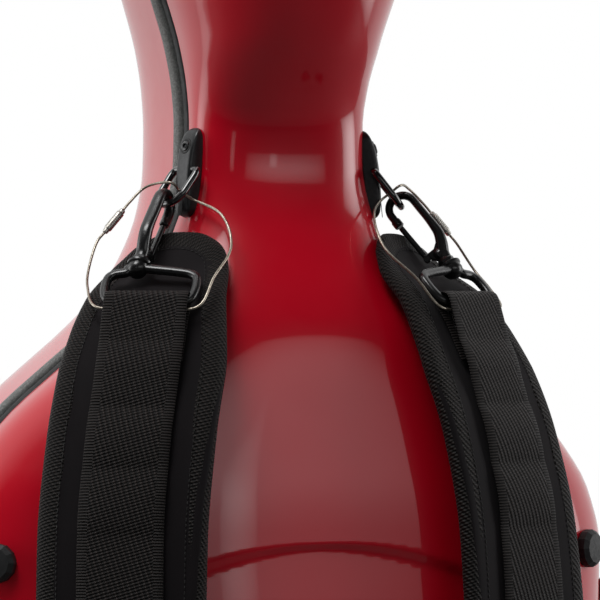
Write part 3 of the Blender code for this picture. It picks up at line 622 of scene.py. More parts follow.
def woven(finish: Cloth) -> bpy.types.Material:
    """A ribbed weave: leaning ribs of beaded threads, with plain beaded selvedges, coloured with painted
    shade in the gaps and painted light on the raised threads.

    Args:
        finish: Its values, in metres on the UV map, whose u runs across the strip.

    Returns:
        The material.
    """
    material, nodes, links = new_material(finish.name)
    rib_frame = nodes.new("NodeFrame")
    rib_frame.label = "Leaning ribs"
    bead_frame = nodes.new("NodeFrame")
    bead_frame.label = "Beads along the threads"
    edge_frame = nodes.new("NodeFrame")
    edge_frame.label = "Selvedge"
    turn = 2 * math.pi
    cloth = nodes.new("ShaderNodeUVMap")
    cloth.label = "Metres on the strip"
    cloth.location = (-1900, 0)
    cloth.uv_map = "cloth"
    split = nodes.new("ShaderNodeSeparateXYZ")
    split.label = "Across and along"
    split.location = (-1700, 0)
    lean = nodes.new("ShaderNodeMath")
    lean.label = "Ribs lean along the strip"
    lean.operation = "MULTIPLY_ADD"
    lean.location = (-1450, 300)
    lean.parent = rib_frame
    lean.inputs[1].default_value = finish.rib_lean
    rib_turn = nodes.new("ShaderNodeMath")
    rib_turn.label = "Rib pitch"
    rib_turn.operation = "MULTIPLY"
    rib_turn.location = (-1250, 300)
    rib_turn.parent = rib_frame
    rib_turn.inputs[1].default_value = turn / finish.rib_pitch
    rib = nodes.new("ShaderNodeMath")
    rib.label = "Ribs"
    rib.operation = "SINE"
    rib.location = (-1050, 300)
    rib.parent = rib_frame
    bead_turn = nodes.new("ShaderNodeMath")
    bead_turn.label = "Bead pitch"
    bead_turn.operation = "MULTIPLY"
    bead_turn.location = (-1450, 0)
    bead_turn.parent = bead_frame
    bead_turn.inputs[1].default_value = turn / finish.bead_pitch
    offset = nodes.new("ShaderNodeMath")
    offset.label = "Beads of next ribs lie between"
    offset.operation = "MULTIPLY_ADD"
    offset.location = (-1250, 0)
    offset.parent = bead_frame
    offset.inputs[1].default_value = 0.5
    bead = nodes.new("ShaderNodeMath")
    bead.label = "Beads"
    bead.operation = "SINE"
    bead.location = (-1050, 0)
    bead.parent = bead_frame
    plain = nodes.new("ShaderNodeMath")
    plain.label = "Beads of the selvedge"
    plain.operation = "SINE"
    plain.location = (-1050, -180)
    plain.parent = edge_frame
    centred = nodes.new("ShaderNodeMath")
    centred.label = "From the middle"
    centred.operation = "SUBTRACT"
    centred.location = (-1450, -360)
    centred.parent = edge_frame
    centred.inputs[1].default_value = finish.width / 2
    away = nodes.new("ShaderNodeMath")
    away.label = "Distance from the middle"
    away.operation = "ABSOLUTE"
    away.location = (-1250, -360)
    away.parent = edge_frame
    edge = nodes.new("ShaderNodeMath")
    edge.label = "Selvedge or middle"
    edge.operation = "GREATER_THAN"
    edge.location = (-1050, -360)
    edge.parent = edge_frame
    edge.inputs[1].default_value = finish.width / 2 - finish.selvedge
    weave = nodes.new("ShaderNodeMath")
    weave.label = "Ribs and their beads"
    weave.operation = "MULTIPLY_ADD"
    weave.location = (-850, 200)
    weave.inputs[1].default_value = 0.85
    height = nodes.new("ShaderNodeMix")
    height.label = "Weave height"
    height.location = (-650, 100)
    share = nodes.new("ShaderNodeMapRange")
    share.label = "Height from 0 to 1"
    share.location = (-450, 100)
    share.inputs["From Min"].default_value = -1.5
    share.inputs["From Max"].default_value = 1.8
    fuzz = nodes.new("ShaderNodeTexNoise")
    fuzz.label = "Uneven dye and lint"
    fuzz.location = (-650, -200)
    fuzz.inputs["Scale"].default_value = 900.0
    fuzz.inputs["Detail"].default_value = 3.0
    uneven = nodes.new("ShaderNodeMath")
    uneven.label = "Lint catches light"
    uneven.operation = "MULTIPLY"
    uneven.location = (-450, -200)
    # Painted shade and painted light: the weave's height picks the colour, dark in the deep gaps between
    # threads and light on the raised threads.
    tone = nodes.new("ShaderNodeValToRGB")
    tone.label = "Deep gaps to lit threads"
    tone.location = (-250, 0)
    tone.color_ramp.elements[0].position = 0.12
    tone.color_ramp.elements[0].color = (*finish.colour, 1)
    tone.color_ramp.elements[1].position = 0.52
    tone.color_ramp.elements[1].color = (*finish.thread, 1)
    relief = nodes.new("ShaderNodeBump")
    relief.label = "Thread relief"
    relief.location = (-250, -300)
    relief.inputs["Strength"].default_value = 1.0
    relief.inputs["Distance"].default_value = finish.relief
    shader = nodes.new("ShaderNodeBsdfPrincipled")
    shader.label = finish.name
    shader.location = (50, 100)
    shader.inputs["Roughness"].default_value = finish.roughness
    shader.inputs["Specular IOR Level"].default_value = 0.22
    shader.inputs["Sheen Weight"].default_value = 0.04
    shader.inputs["Sheen Roughness"].default_value = 0.4
    out = nodes.new("ShaderNodeOutputMaterial")
    out.label = "Surface"
    out.location = (350, 100)
    links.new(cloth.outputs["UV"], split.inputs["Vector"])
    links.new(split.outputs["Y"], lean.inputs[0])
    links.new(split.outputs["X"], lean.inputs[2])
    links.new(lean.outputs["Value"], rib_turn.inputs[0])
    links.new(rib_turn.outputs["Value"], rib.inputs[0])
    links.new(split.outputs["Y"], bead_turn.inputs[0])
    links.new(rib_turn.outputs["Value"], offset.inputs[0])
    links.new(bead_turn.outputs["Value"], offset.inputs[2])
    links.new(offset.outputs["Value"], bead.inputs[0])
    links.new(bead_turn.outputs["Value"], plain.inputs[0])
    links.new(split.outputs["X"], centred.inputs[0])
    links.new(centred.outputs["Value"], away.inputs[0])
    links.new(away.outputs["Value"], edge.inputs[0])
    links.new(bead.outputs["Value"], weave.inputs[0])
    links.new(rib.outputs["Value"], weave.inputs[2])
    links.new(edge.outputs["Value"], height.inputs["Factor"])
    links.new(weave.outputs["Value"], height.inputs["A"])
    links.new(plain.outputs["Value"], height.inputs["B"])
    links.new(height.outputs["Result"], share.inputs["Value"])
    links.new(share.outputs["Result"], uneven.inputs[0])
    links.new(fuzz.outputs["Fac"], uneven.inputs[1])
    links.new(uneven.outputs["Value"], tone.inputs["Fac"])
    links.new(tone.outputs["Color"], shader.inputs["Base Color"])
    links.new(share.outputs["Result"], relief.inputs["Height"])
    links.new(relief.outputs["Normal"], shader.inputs["Normal"])
    links.new(shader.outputs["BSDF"], out.inputs["Surface"])
    return material


def napped(
    name: str, ground: tuple[float, float, float], nap: tuple[float, float, float], pile: float
) -> bpy.types.Material:
    """A knit, velour or plush surface with a soft nap.

    Args:
        name: The material's name.
        ground: The cloth's darkest colour.
        nap: The colour where the nap catches light.
        pile: The nap's height.

    Returns:
        The material.
    """
    material, nodes, links = new_material(name)
    nap_frame = nodes.new("NodeFrame")
    nap_frame.label = "Nap"
    place = nodes.new("ShaderNodeTexCoord")
    place.label = "Place on the piece"
    place.location = (-1000, 0)
    brushed = nodes.new("ShaderNodeTexNoise")
    brushed.label = "Brushed patches"
    brushed.location = (-750, 200)
    brushed.parent = nap_frame
    brushed.inputs["Scale"].default_value = 28.0
    brushed.inputs["Detail"].default_value = 8.0
    brushed.inputs["Roughness"].default_value = 0.7
    tone = nodes.new("ShaderNodeValToRGB")
    tone.label = "Ground to nap"
    tone.location = (-500, 200)
    tone.parent = nap_frame
    tone.color_ramp.elements[0].position = 0.35
    tone.color_ramp.elements[0].color = (*ground, 1)
    tone.color_ramp.elements[1].position = 0.7
    tone.color_ramp.elements[1].color = (*nap, 1)
    loops = nodes.new("ShaderNodeTexNoise")
    loops.label = "Fibre ends"
    loops.location = (-750, -150)
    loops.inputs["Scale"].default_value = 1400.0
    loops.inputs["Detail"].default_value = 2.0
    relief = nodes.new("ShaderNodeBump")
    relief.label = "Fibre relief"
    relief.location = (-500, -150)
    relief.inputs["Strength"].default_value = 0.5
    relief.inputs["Distance"].default_value = pile
    shader = nodes.new("ShaderNodeBsdfPrincipled")
    shader.label = name
    shader.location = (-200, 100)
    shader.inputs["Roughness"].default_value = 0.85
    shader.inputs["Specular IOR Level"].default_value = 0.25
    shader.inputs["Sheen Weight"].default_value = 0.06
    shader.inputs["Sheen Roughness"].default_value = 0.5
    out = nodes.new("ShaderNodeOutputMaterial")
    out.label = "Surface"
    out.location = (100, 100)
    links.new(place.outputs["Object"], brushed.inputs["Vector"])
    links.new(place.outputs["Object"], loops.inputs["Vector"])
    links.new(brushed.outputs["Fac"], tone.inputs["Fac"])
    links.new(tone.outputs["Color"], shader.inputs["Base Color"])
    links.new(loops.outputs["Fac"], relief.inputs["Height"])
    links.new(relief.outputs["Normal"], shader.inputs["Normal"])
    links.new(shader.outputs["BSDF"], out.inputs["Surface"])
    return material


class Finishes:
    """Every finish on the case."""

    def __init__(self) -> None:
        """Makes the materials."""
        self.red = gel_coat("red_gel_coat", (0.66, 0.0006, 0.0165), (0.60, 0.0004, 0.0135))
        self.strip = moulded(
            Moulding("edge_strip", (0.13, 0.135, 0.13), (0.27, 0.275, 0.265), 0.65, 1500, 0.0005)
        )
        self.rubber = moulded(
            Moulding("seam_rubber", (0.006, 0.0065, 0.007), (0.016, 0.016, 0.017), 0.6, 700, 0.0002)
        )
        self.enamel = moulded(
            Moulding(
                "black_enamel", (0.0045, 0.0045, 0.0048), (0.011, 0.011, 0.0115), 0.3, 260, 0.0002, coat=0.35
            )
        )
        self.satin = moulded(
            Moulding(
                "satin_anchor", (0.012, 0.0125, 0.0135), (0.026, 0.027, 0.029), 0.34, 900, 0.0002,
                metallic=0.15
            )
        )
        self.plastic = moulded(
            Moulding("black_plastic", (0.011, 0.011, 0.012), (0.022, 0.022, 0.023), 0.45, 1100, 0.0002)
        )
        self.gloss = moulded(
            Moulding(
                "gloss_enamel", (0.006, 0.0062, 0.0066), (0.012, 0.012, 0.013), 0.16, 260, 0.00005, coat=1.0
            )
        )
        self.thread = moulded(
            Moulding("black_thread", (0.008, 0.0075, 0.007), (0.022, 0.020, 0.018), 0.7, 3000, 0.0002)
        )
        self.steel = moulded(
            Moulding("plated_steel", (0.46, 0.44, 0.40), (0.58, 0.56, 0.52), 0.38, 300, 0.00006, metallic=1.0)
        )
        self.wire = moulded(
            Moulding(
                "stranded_wire", (0.30, 0.265, 0.215), (0.62, 0.56, 0.47), 0.34, 1500, 0.00008, metallic=0.85
            )
        )
        # In each weave below, the first colour is painted shade in the gaps and the second is the threads
        # lightened with painted light.
        self.webbing = woven(
            Cloth(
                "ribbed_webbing", (0.0010, 0.0007, 0.0007), (0.040, 0.031, 0.028), 0.0031, -0.34, 0.0017,
                0.0010, 0.050, 0.0060
            )
        )
        self.binding = woven(
            Cloth(
                "twill_binding", (0.0010, 0.0008, 0.0007), (0.032, 0.025, 0.022), 0.0020, -0.55, 0.0015,
                0.0008, 1.0, -1.0
            )
        )
        self.knit = napped("pad_knit", (0.0042, 0.0026, 0.0036), (0.0075, 0.0045, 0.0060), 0.0001)
        self.plush = napped("lining_plush", (0.010, 0.010, 0.012), (0.035, 0.035, 0.040), 0.0009)
        self.velour = napped("cradle_velour", (0.016, 0.016, 0.019), (0.050, 0.050, 0.056), 0.0007)


# --- The case's form -----------------------------------------------------------------------------

SEAM_BAND = 0.010
RIM_WALL = 0.003
SHELL_WALL = 0.004


class Form:
    """The case's outside: half widths and depths by height, each half a rounded half section."""

    ROWS = (
        (0.0200, 0.000, SEAM_BAND, SEAM_BAND), (0.0205, 0.070, 0.055, 0.062), (0.0270, 0.135, 0.086, 0.102),
        (0.0560, 0.195, 0.106, 0.128), (0.1200, 0.235, 0.116, 0.140), (0.2300, 0.256, 0.118, 0.146),
        (0.3500, 0.245, 0.117, 0.147), (0.4600, 0.217, 0.115, 0.147), (0.5600, 0.199, 0.112, 0.146),
        (0.6500, 0.199, 0.107, 0.144), (0.7200, 0.207, 0.101, 0.142), (0.7800, 0.208, 0.095, 0.139),
        (0.8140, 0.200, 0.092, 0.136), (0.8380, 0.1855, 0.089, 0.133), (0.8620, 0.1655, 0.086, 0.130),
        (0.8870, 0.1370, 0.083, 0.126), (0.9110, 0.1085, 0.079, 0.123), (0.9350, 0.0845, 0.070, 0.121),
        (0.9600, 0.0685, 0.058, 0.120), (0.9840, 0.0590, 0.048, 0.119), (1.0100, 0.0545, 0.043, 0.119),
        (1.0350, 0.0540, 0.045, 0.119), (1.0560, 0.0555, 0.058, 0.118), (1.0810, 0.0600, 0.078, 0.116),
        (1.1300, 0.0750, 0.094, 0.114), (1.1900, 0.0900, 0.100, 0.112), (1.2500, 0.0940, 0.096, 0.106),
        (1.3000, 0.0800, 0.080, 0.088), (1.3260, 0.0520, 0.054, 0.060), (1.3350, 0.000, SEAM_BAND, SEAM_BAND),
    )
    POWER = {"back": 2.3, "lid": 4.5}

    def __init__(self) -> None:
        """Smooths the rows."""
        self.fine = smooth_rows(self.ROWS, 40)

    def at(self, z: float) -> tuple[float, float, float]:
        """Half width, back depth and lid depth.

        Args:
            z: Height.

        Returns:
            The three lengths.
        """
        heights = self.fine[:, 0]
        return tuple(float(np.interp(z, heights, self.fine[:, k])) for k in (1, 2, 3))

    def back_y(self, x: float, z: float) -> float:
        """Y of the back's outside.

        Args:
            x: Place across.
            z: Height.

        Returns:
            Its Y, which is negative.
        """
        half, depth, _ = self.at(z)
        power = self.POWER["back"]
        share = max(0.0, 1.0 - min(1.0, abs(x) / max(half, 1e-6)) ** power)
        return -(SEAM_BAND + (depth - SEAM_BAND) * share ** (1 / power))

    def section(self, z: float, half_name: str, around: int, inset: float = 0.0) -> list[tuple[float, float]]:
        """Points of one half's section, from the +X seam round to the -X seam.

        Args:
            z: Height.
            half_name: "back" or "lid".
            around: Number of spans.
            inset: How far inside the outside.

        Returns:
            (x, distance from the seam plane) pairs.
        """
        half, back, lid = self.at(z)
        depth = back if half_name == "back" else lid
        half, depth = max(half - inset, 0.0), max(depth - inset, SEAM_BAND)
        rim = min(RIM_WALL, 0.5 * (depth - SEAM_BAND))
        share = 2 / self.POWER[half_name]
        points = []
        for i in range(around + 1):
            turn = math.pi * i / around
            cos, sin = math.cos(turn), math.sin(turn)
            x = half * math.copysign(abs(cos) ** share, cos)
            points.append((x, SEAM_BAND + rim + (depth - SEAM_BAND - rim) * abs(sin) ** share))
        return [(half, SEAM_BAND)] + points + [(-half, SEAM_BAND)]

    def band(self, inset: float, samples: int) -> list[Vector]:
        """The seam's closed outline in the XZ plane, up the +X side and down the -X side.

        Args:
            inset: How far inside the outside.
            samples: Number of points.

        Returns:
            Evenly spaced points at Y 0.
        """
        right = [Vector((float(w), 0, float(z))) for z, w in self.fine[:, :2]]
        left = [Vector((-p.x, 0, p.z)) for p in reversed(right[1:-1])]
        ring = [
            Vector(spot.tolist())
            for spot in spaced(np.array([tuple(p) for p in right + left]), samples, True)
        ]
        moved = []
        for i, point in enumerate(ring):
            along = ring[(i + 1) % len(ring)] - ring[i - 1]
            inward = Vector((-along.z, 0, along.x)).normalized()
            moved.append(point + inset * inward)
        return moved


FORM = Form()


# --- Shells, edge strip and linings --------------------------------------------------------------

STEP_HEIGHT = 0.787
STEP_DEPTH = 0.0018


def back_recess(x: float, z: float) -> float:
    """How far the back's panel lies below the surface round it, under an almost level arch.

    Args:
        x: Place across.
        z: Height.

    Returns:
        The recess in metres.
    """
    top = STEP_HEIGHT - 2.2 * x * x
    edge = 1.0 - smooth_step((z - top + 0.0035) / 0.0045)
    sides = 1.0 - smooth_step((abs(x) - 0.118) / 0.030)
    fade = smooth_step((z - 0.56) / 0.14)
    return STEP_DEPTH * edge * sides * fade


def shell_heights(dense: bool) -> list[float]:
    """Heights of a shell's rows, closer together where it curves hard or steps.

    Args:
        dense: Whether the panel's step is among them.

    Returns:
        Rising heights.
    """
    heights = list(np.linspace(0.0200, 0.0215, 8)) + list(np.linspace(0.023, 0.060, 14))
    heights += list(np.linspace(0.068, 1.290, 150)) + list(np.linspace(1.294, 1.3330, 14))
    heights += list(np.linspace(1.3335, 1.3350, 6))
    if dense:
        heights = [z for z in heights if not 0.765 < z < 0.797] + list(np.linspace(0.766, 0.796, 34))
    return sorted(float(z) for z in heights)


def shell_skin(half_name: str, inset: float, wall: float) -> bmesh.types.BMesh:
    """A closed wall that follows the form: an outside and an inside, joined along the seam.

    Args:
        half_name: "back" or "lid".
        inset: How far inside the form's outside the wall starts.
        wall: Its thickness.

    Returns:
        The mesh.
    """
    sign = -1.0 if half_name == "back" else 1.0
    heights = shell_heights(half_name == "back" and inset == 0)
    around = 72
    mesh = bmesh.new()
    rows: list[list[list[bmesh.types.BMVert]]] = []
    for layer, extra in enumerate((inset, inset + wall)):
        grid = []
        for z in heights:
            low, high = 0.0200 + extra, 1.3350 - extra
            level = min(max(z, low), high)
            section = FORM.section(level, half_name, around, extra)
            row = []
            for x, deep in section:
                y = sign * deep
                if half_name == "back" and inset == 0 and layer == 0:
                    share = smooth_step((deep - 0.03) / 0.03)
                    y += back_recess(x, level) * share
                row.append(mesh.verts.new((x, y, level)))
            grid.append(row)
        rows.append(grid)
    for layer, grid in enumerate(rows):
        for i in range(len(grid) - 1):
            for j in range(len(grid[0]) - 1):
                corners = [grid[i][j], grid[i][j + 1], grid[i + 1][j + 1], grid[i + 1][j]]
                mesh.faces.new(corners if layer else corners[::-1])
    for j in (0, -1):
        for i in range(len(heights) - 1):
            mesh.faces.new([rows[0][i][j], rows[0][i + 1][j], rows[1][i + 1][j], rows[1][i][j]])
    for i in (0, -1):
        for grid in rows:
            mesh.faces.new(grid[i])
        mesh.faces.new([rows[0][i][0], rows[0][i][-1], rows[1][i][-1], rows[1][i][0]])
    bmesh.ops.remove_doubles(mesh, verts=mesh.verts, dist=1e-6)
    bmesh.ops.dissolve_degenerate(mesh, edges=mesh.edges, dist=1e-7)
    bmesh.ops.recalc_face_normals(mesh, faces=mesh.faces)
    return mesh


class Shells:
    """The two glossy shells, the strip and gasket between them, and the linings."""

    def __init__(self, looks: Finishes) -> None:
        """Keeps the finishes.

        Args:
            looks: Every finish.
        """
        self.looks = looks

    def build(self) -> None:
        """Makes every piece."""
        piece(
            "back_skin", shell_skin("back", 0, SHELL_WALL), self.looks.red, "case_back", "red_gelcoat",
            ["back_shell"], 60
        )
        piece(
            "lid_skin", shell_skin("lid", 0, SHELL_WALL), self.looks.red, "lid", "red_gelcoat", ["lid_shell"],
            60
        )
        self.lining("back", "case_back", "back_lining")
        self.lining("lid", "lid", "lid_lining")
        self.seam()

    def lining(self, half_name: str, body: str, node: str) -> None:
        """Plush over foam inside one shell.

        Args:
            half_name: "back" or "lid".
            body: The body that it moves with.
            node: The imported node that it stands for.
        """
        mesh = shell_skin(half_name, SHELL_WALL + 0.0012, 0.007)
        piece(f"{half_name}_plush", mesh, self.looks.plush, body, "lining_plush", [node], 60)

    def seam(self) -> None:
        """The strip round the lid's edge, proud of the shells, and the gasket beside it."""
        around = 620
        line = np.array([tuple(p) for p in FORM.band(0.0, around)])
        frames = []
        for i in range(around):
            along = line[(i + 1) % around] - line[i - 1]
            out = Vector((along[2], 0, -along[0])).normalized()
            frames.append((Vector(line[i].tolist()), out))
        strip = [(-0.0046, 0.0006), (0.0012, 0.0004), (0.0030, 0.0014), (0.0040, 0.0036), (0.0042, 0.0066)]
        strip += [(0.0036, 0.0094), (0.0020, 0.0114), (0.0002, 0.0124), (-0.0012, 0.0124), (-0.0046, 0.0096)]
        gasket = [
            (-0.0046, -0.0092), (-0.0010, -0.0092), (0.0006, -0.0080), (0.0011, -0.0056), (0.0011, -0.0034)
        ]
        gasket += [(0.0002, -0.0010), (-0.0010, -0.0002), (-0.0046, -0.0002)]
        for name, profile, look, body, slot, node in (
            ("edge_strip", strip, self.looks.strip, "lid", "rim_strip", "lid_rim"),
            ("gasket_bead", gasket, self.looks.rubber, "case_back", "seam_rubber", "seam_gasket"),
        ):
            mesh = bmesh.new()
            mesh.loops.layers.uv.new("cloth")
            rings = [
                [mesh.verts.new(spot + a * out + Vector((0, b, 0))) for a, b in profile] for spot,
                out in frames
            ]
            for i in range(around):
                here, after = rings[i], rings[(i + 1) % around]
                for j in range(len(profile)):
                    k = (j + 1) % len(profile)
                    mesh.faces.new([here[j], here[k], after[k], after[j]])
            bmesh.ops.recalc_face_normals(mesh, faces=mesh.faces)
            obj = piece(name, mesh, look, body, slot, [node], 75)
            subdivide(obj)


# --- Straps --------------------------------------------------------------------------------------

class Strap:
    """The middle surface of one shoulder strap: place, width axis, outward normal and downward direction."""

    PAD = (
        (0.0648, -0.0350, 0.9690, 42, 0.0000, 0.0030), (0.0690, -0.0388, 0.9600, 41, 0.0280, 0.0034),
        (0.0768, -0.0443, 0.9460, 38, 0.0360, 0.0042), (0.0905, -0.0588, 0.9280, 34, 0.0400, 0.0052),
        (0.1052, -0.0785, 0.8870, 30, 0.0490, 0.0060), (0.1146, -0.0885, 0.8500, 28, 0.0490, 0.0060),
        (0.1228, -0.0975, 0.7900, 25, 0.0485, 0.0060), (0.1252, -0.1035, 0.7200, 22, 0.0480, 0.0060),
        (0.1248, -0.1095, 0.6400, 20, 0.0475, 0.0060), (0.1230, -0.1140, 0.5600, 19, 0.0465, 0.0060),
        (0.1230, -0.1165, 0.5100, 19, 0.0400, 0.0055), (0.1235, -0.1170, 0.4900, 19, 0.0300, 0.0045),
        (0.1240, -0.1172, 0.4820, 19, 0.0000, 0.0030),
    )
    WIDTHS = (
        (0.9690, 0.0), (0.9685, 0.008), (0.9660, 0.017), (0.9590, 0.028), (0.9460, 0.036), (0.9290, 0.0420),
        (0.9110, 0.0460), (0.8870, 0.049), (0.8500, 0.0490), (0.7200, 0.0480), (0.5600, 0.0465),
        (0.5100, 0.0400), (0.4900, 0.0285),
        (0.4840, 0.0150), (0.4824, 0.0070), (0.4820, 0.0),
    )
    CORE = (
        (0.0660, -0.0378, 0.9600, 34, 0.0020), (0.0688, -0.0405, 0.9550, 33, 0.0025),
        (0.0778, -0.0470, 0.9450, 32, 0.0040), (0.0915, -0.0600, 0.9280, 31, 0.0055),
        (0.1052, -0.0785, 0.8870, 30, 0.0060), (0.1146, -0.0885, 0.8500, 28, 0.0060),
        (0.1228, -0.0975, 0.7900, 25, 0.0060), (0.1252, -0.1035, 0.7200, 22, 0.0060),
        (0.1248, -0.1095, 0.6400, 20, 0.0060), (0.1230, -0.1140, 0.5600, 19, 0.0060),
        (0.1230, -0.1165, 0.5100, 19, 0.0055), (0.1235, -0.1170, 0.4900, 19, 0.0045),
        (0.1240, -0.1172, 0.4820, 19, 0.0035),
    )
    LOWER = (
        (0.1240, -0.1180, 0.4700, 19), (0.1330, -0.1200, 0.4000, 19), (0.1430, -0.1215, 0.3300, 20),
        (0.1530, -0.1190, 0.2700, 22), (0.1580, -0.1165, 0.2400, 23),
    )
    BAR_HEIGHT = 0.9215
    LOOP_RADIUS = 0.0051
    WEB_WIDTH = 0.050

    def __init__(self, side: Side) -> None:
        """Smooths the rows.

        Args:
            side: The side of the case.
        """
        self.side = side
        self.core = smooth_rows(self.CORE, 6)[::-1]
        self.lower = smooth_rows(self.LOWER, 6)[::-1]
        self.outer = smooth_rows([row[:4] for row in self.PAD], 12)[::-1]

    def station(self, rows: np.ndarray, z: float) -> tuple[Vector, Vector, Vector, Vector]:
        """Middle, level width axis, outward normal and downward direction at a height.

        Args:
            rows: The rising rows of one line.
            z: The height.

        Returns:
            The four vectors.
        """
        heights = rows[:, 2]
        sign = self.side.value

        def at(level: float) -> Vector:
            """The line's point at a height."""
            x, y = (float(np.interp(level, heights, rows[:, k])) for k in (0, 1))
            return Vector((sign * x, y, level))

        azimuth = math.radians(float(np.interp(z, heights, rows[:, 3])))
        across = Vector((math.cos(azimuth), sign * math.sin(azimuth), 0))
        down = (at(z - 0.004) - at(z + 0.004)).normalized()
        down = (down - down.dot(across) * across).normalized()
        normal = across.cross(down).normalized()
        return at(z), across, -normal if normal.y > 0 else normal, down

    def bar(self) -> tuple[Vector, Vector, Vector, Vector]:
        """Centre of the swivel frame's webbing bar, and the strap's axes there."""
        centre, across, normal, down = self.station(self.core, self.BAR_HEIGHT)
        half = float(np.interp(self.BAR_HEIGHT, self.core[:, 2], self.core[:, 4]))
        return centre + (half + 0.0074) * normal, across, normal, down

    def over_pad(self, z: float, above: float) -> Vector:
        """A point this far above the pad's face, at a height."""
        centre, _, normal, _ = self.station(self.core, z)
        half = float(np.interp(z, self.core[:, 2], self.core[:, 4]))
        return centre + (half + above) * normal

    def half_width(self, z: float) -> float:
        """Half the pad's width at a height."""
        rows = np.array(self.WIDTHS)[::-1]
        return float(np.interp(z, rows[:, 0], rows[:, 1]))

    def edge_distance(self, a: float, z: float) -> float:
        """How far a point of the pad is from its nearest edge, nearly."""
        gaps = (max(0.0, self.half_width(z) - abs(a)), 1.4 * (0.9690 - z), 1.3 * (z - 0.4820))
        return min(max(0.0, gap) for gap in gaps)

    def pad_point(self, a: float, z: float, above: float, front: bool) -> Vector:
        """A point on the pad's skin, or this far above it.

        Args:
            a: Place across.
            z: Height.
            above: Distance off the skin.
            front: Whether it is the face that shows.

        Returns:
            The point.
        """
        centre, across, normal, _ = self.station(self.outer, min(max(z, 0.4824), 0.9686))
        thick = float(np.interp(z, *(np.array(self.PAD)[::-1, k] for k in (2, 5)))) - 0.0006
        share = min(1.0, self.edge_distance(a, z) / 0.009)
        rise = thick * (1 - (1 - share) ** 2.4) ** (1 / 2.4)
        return centre + a * across + (1 if front else -1) * (rise + above) * normal


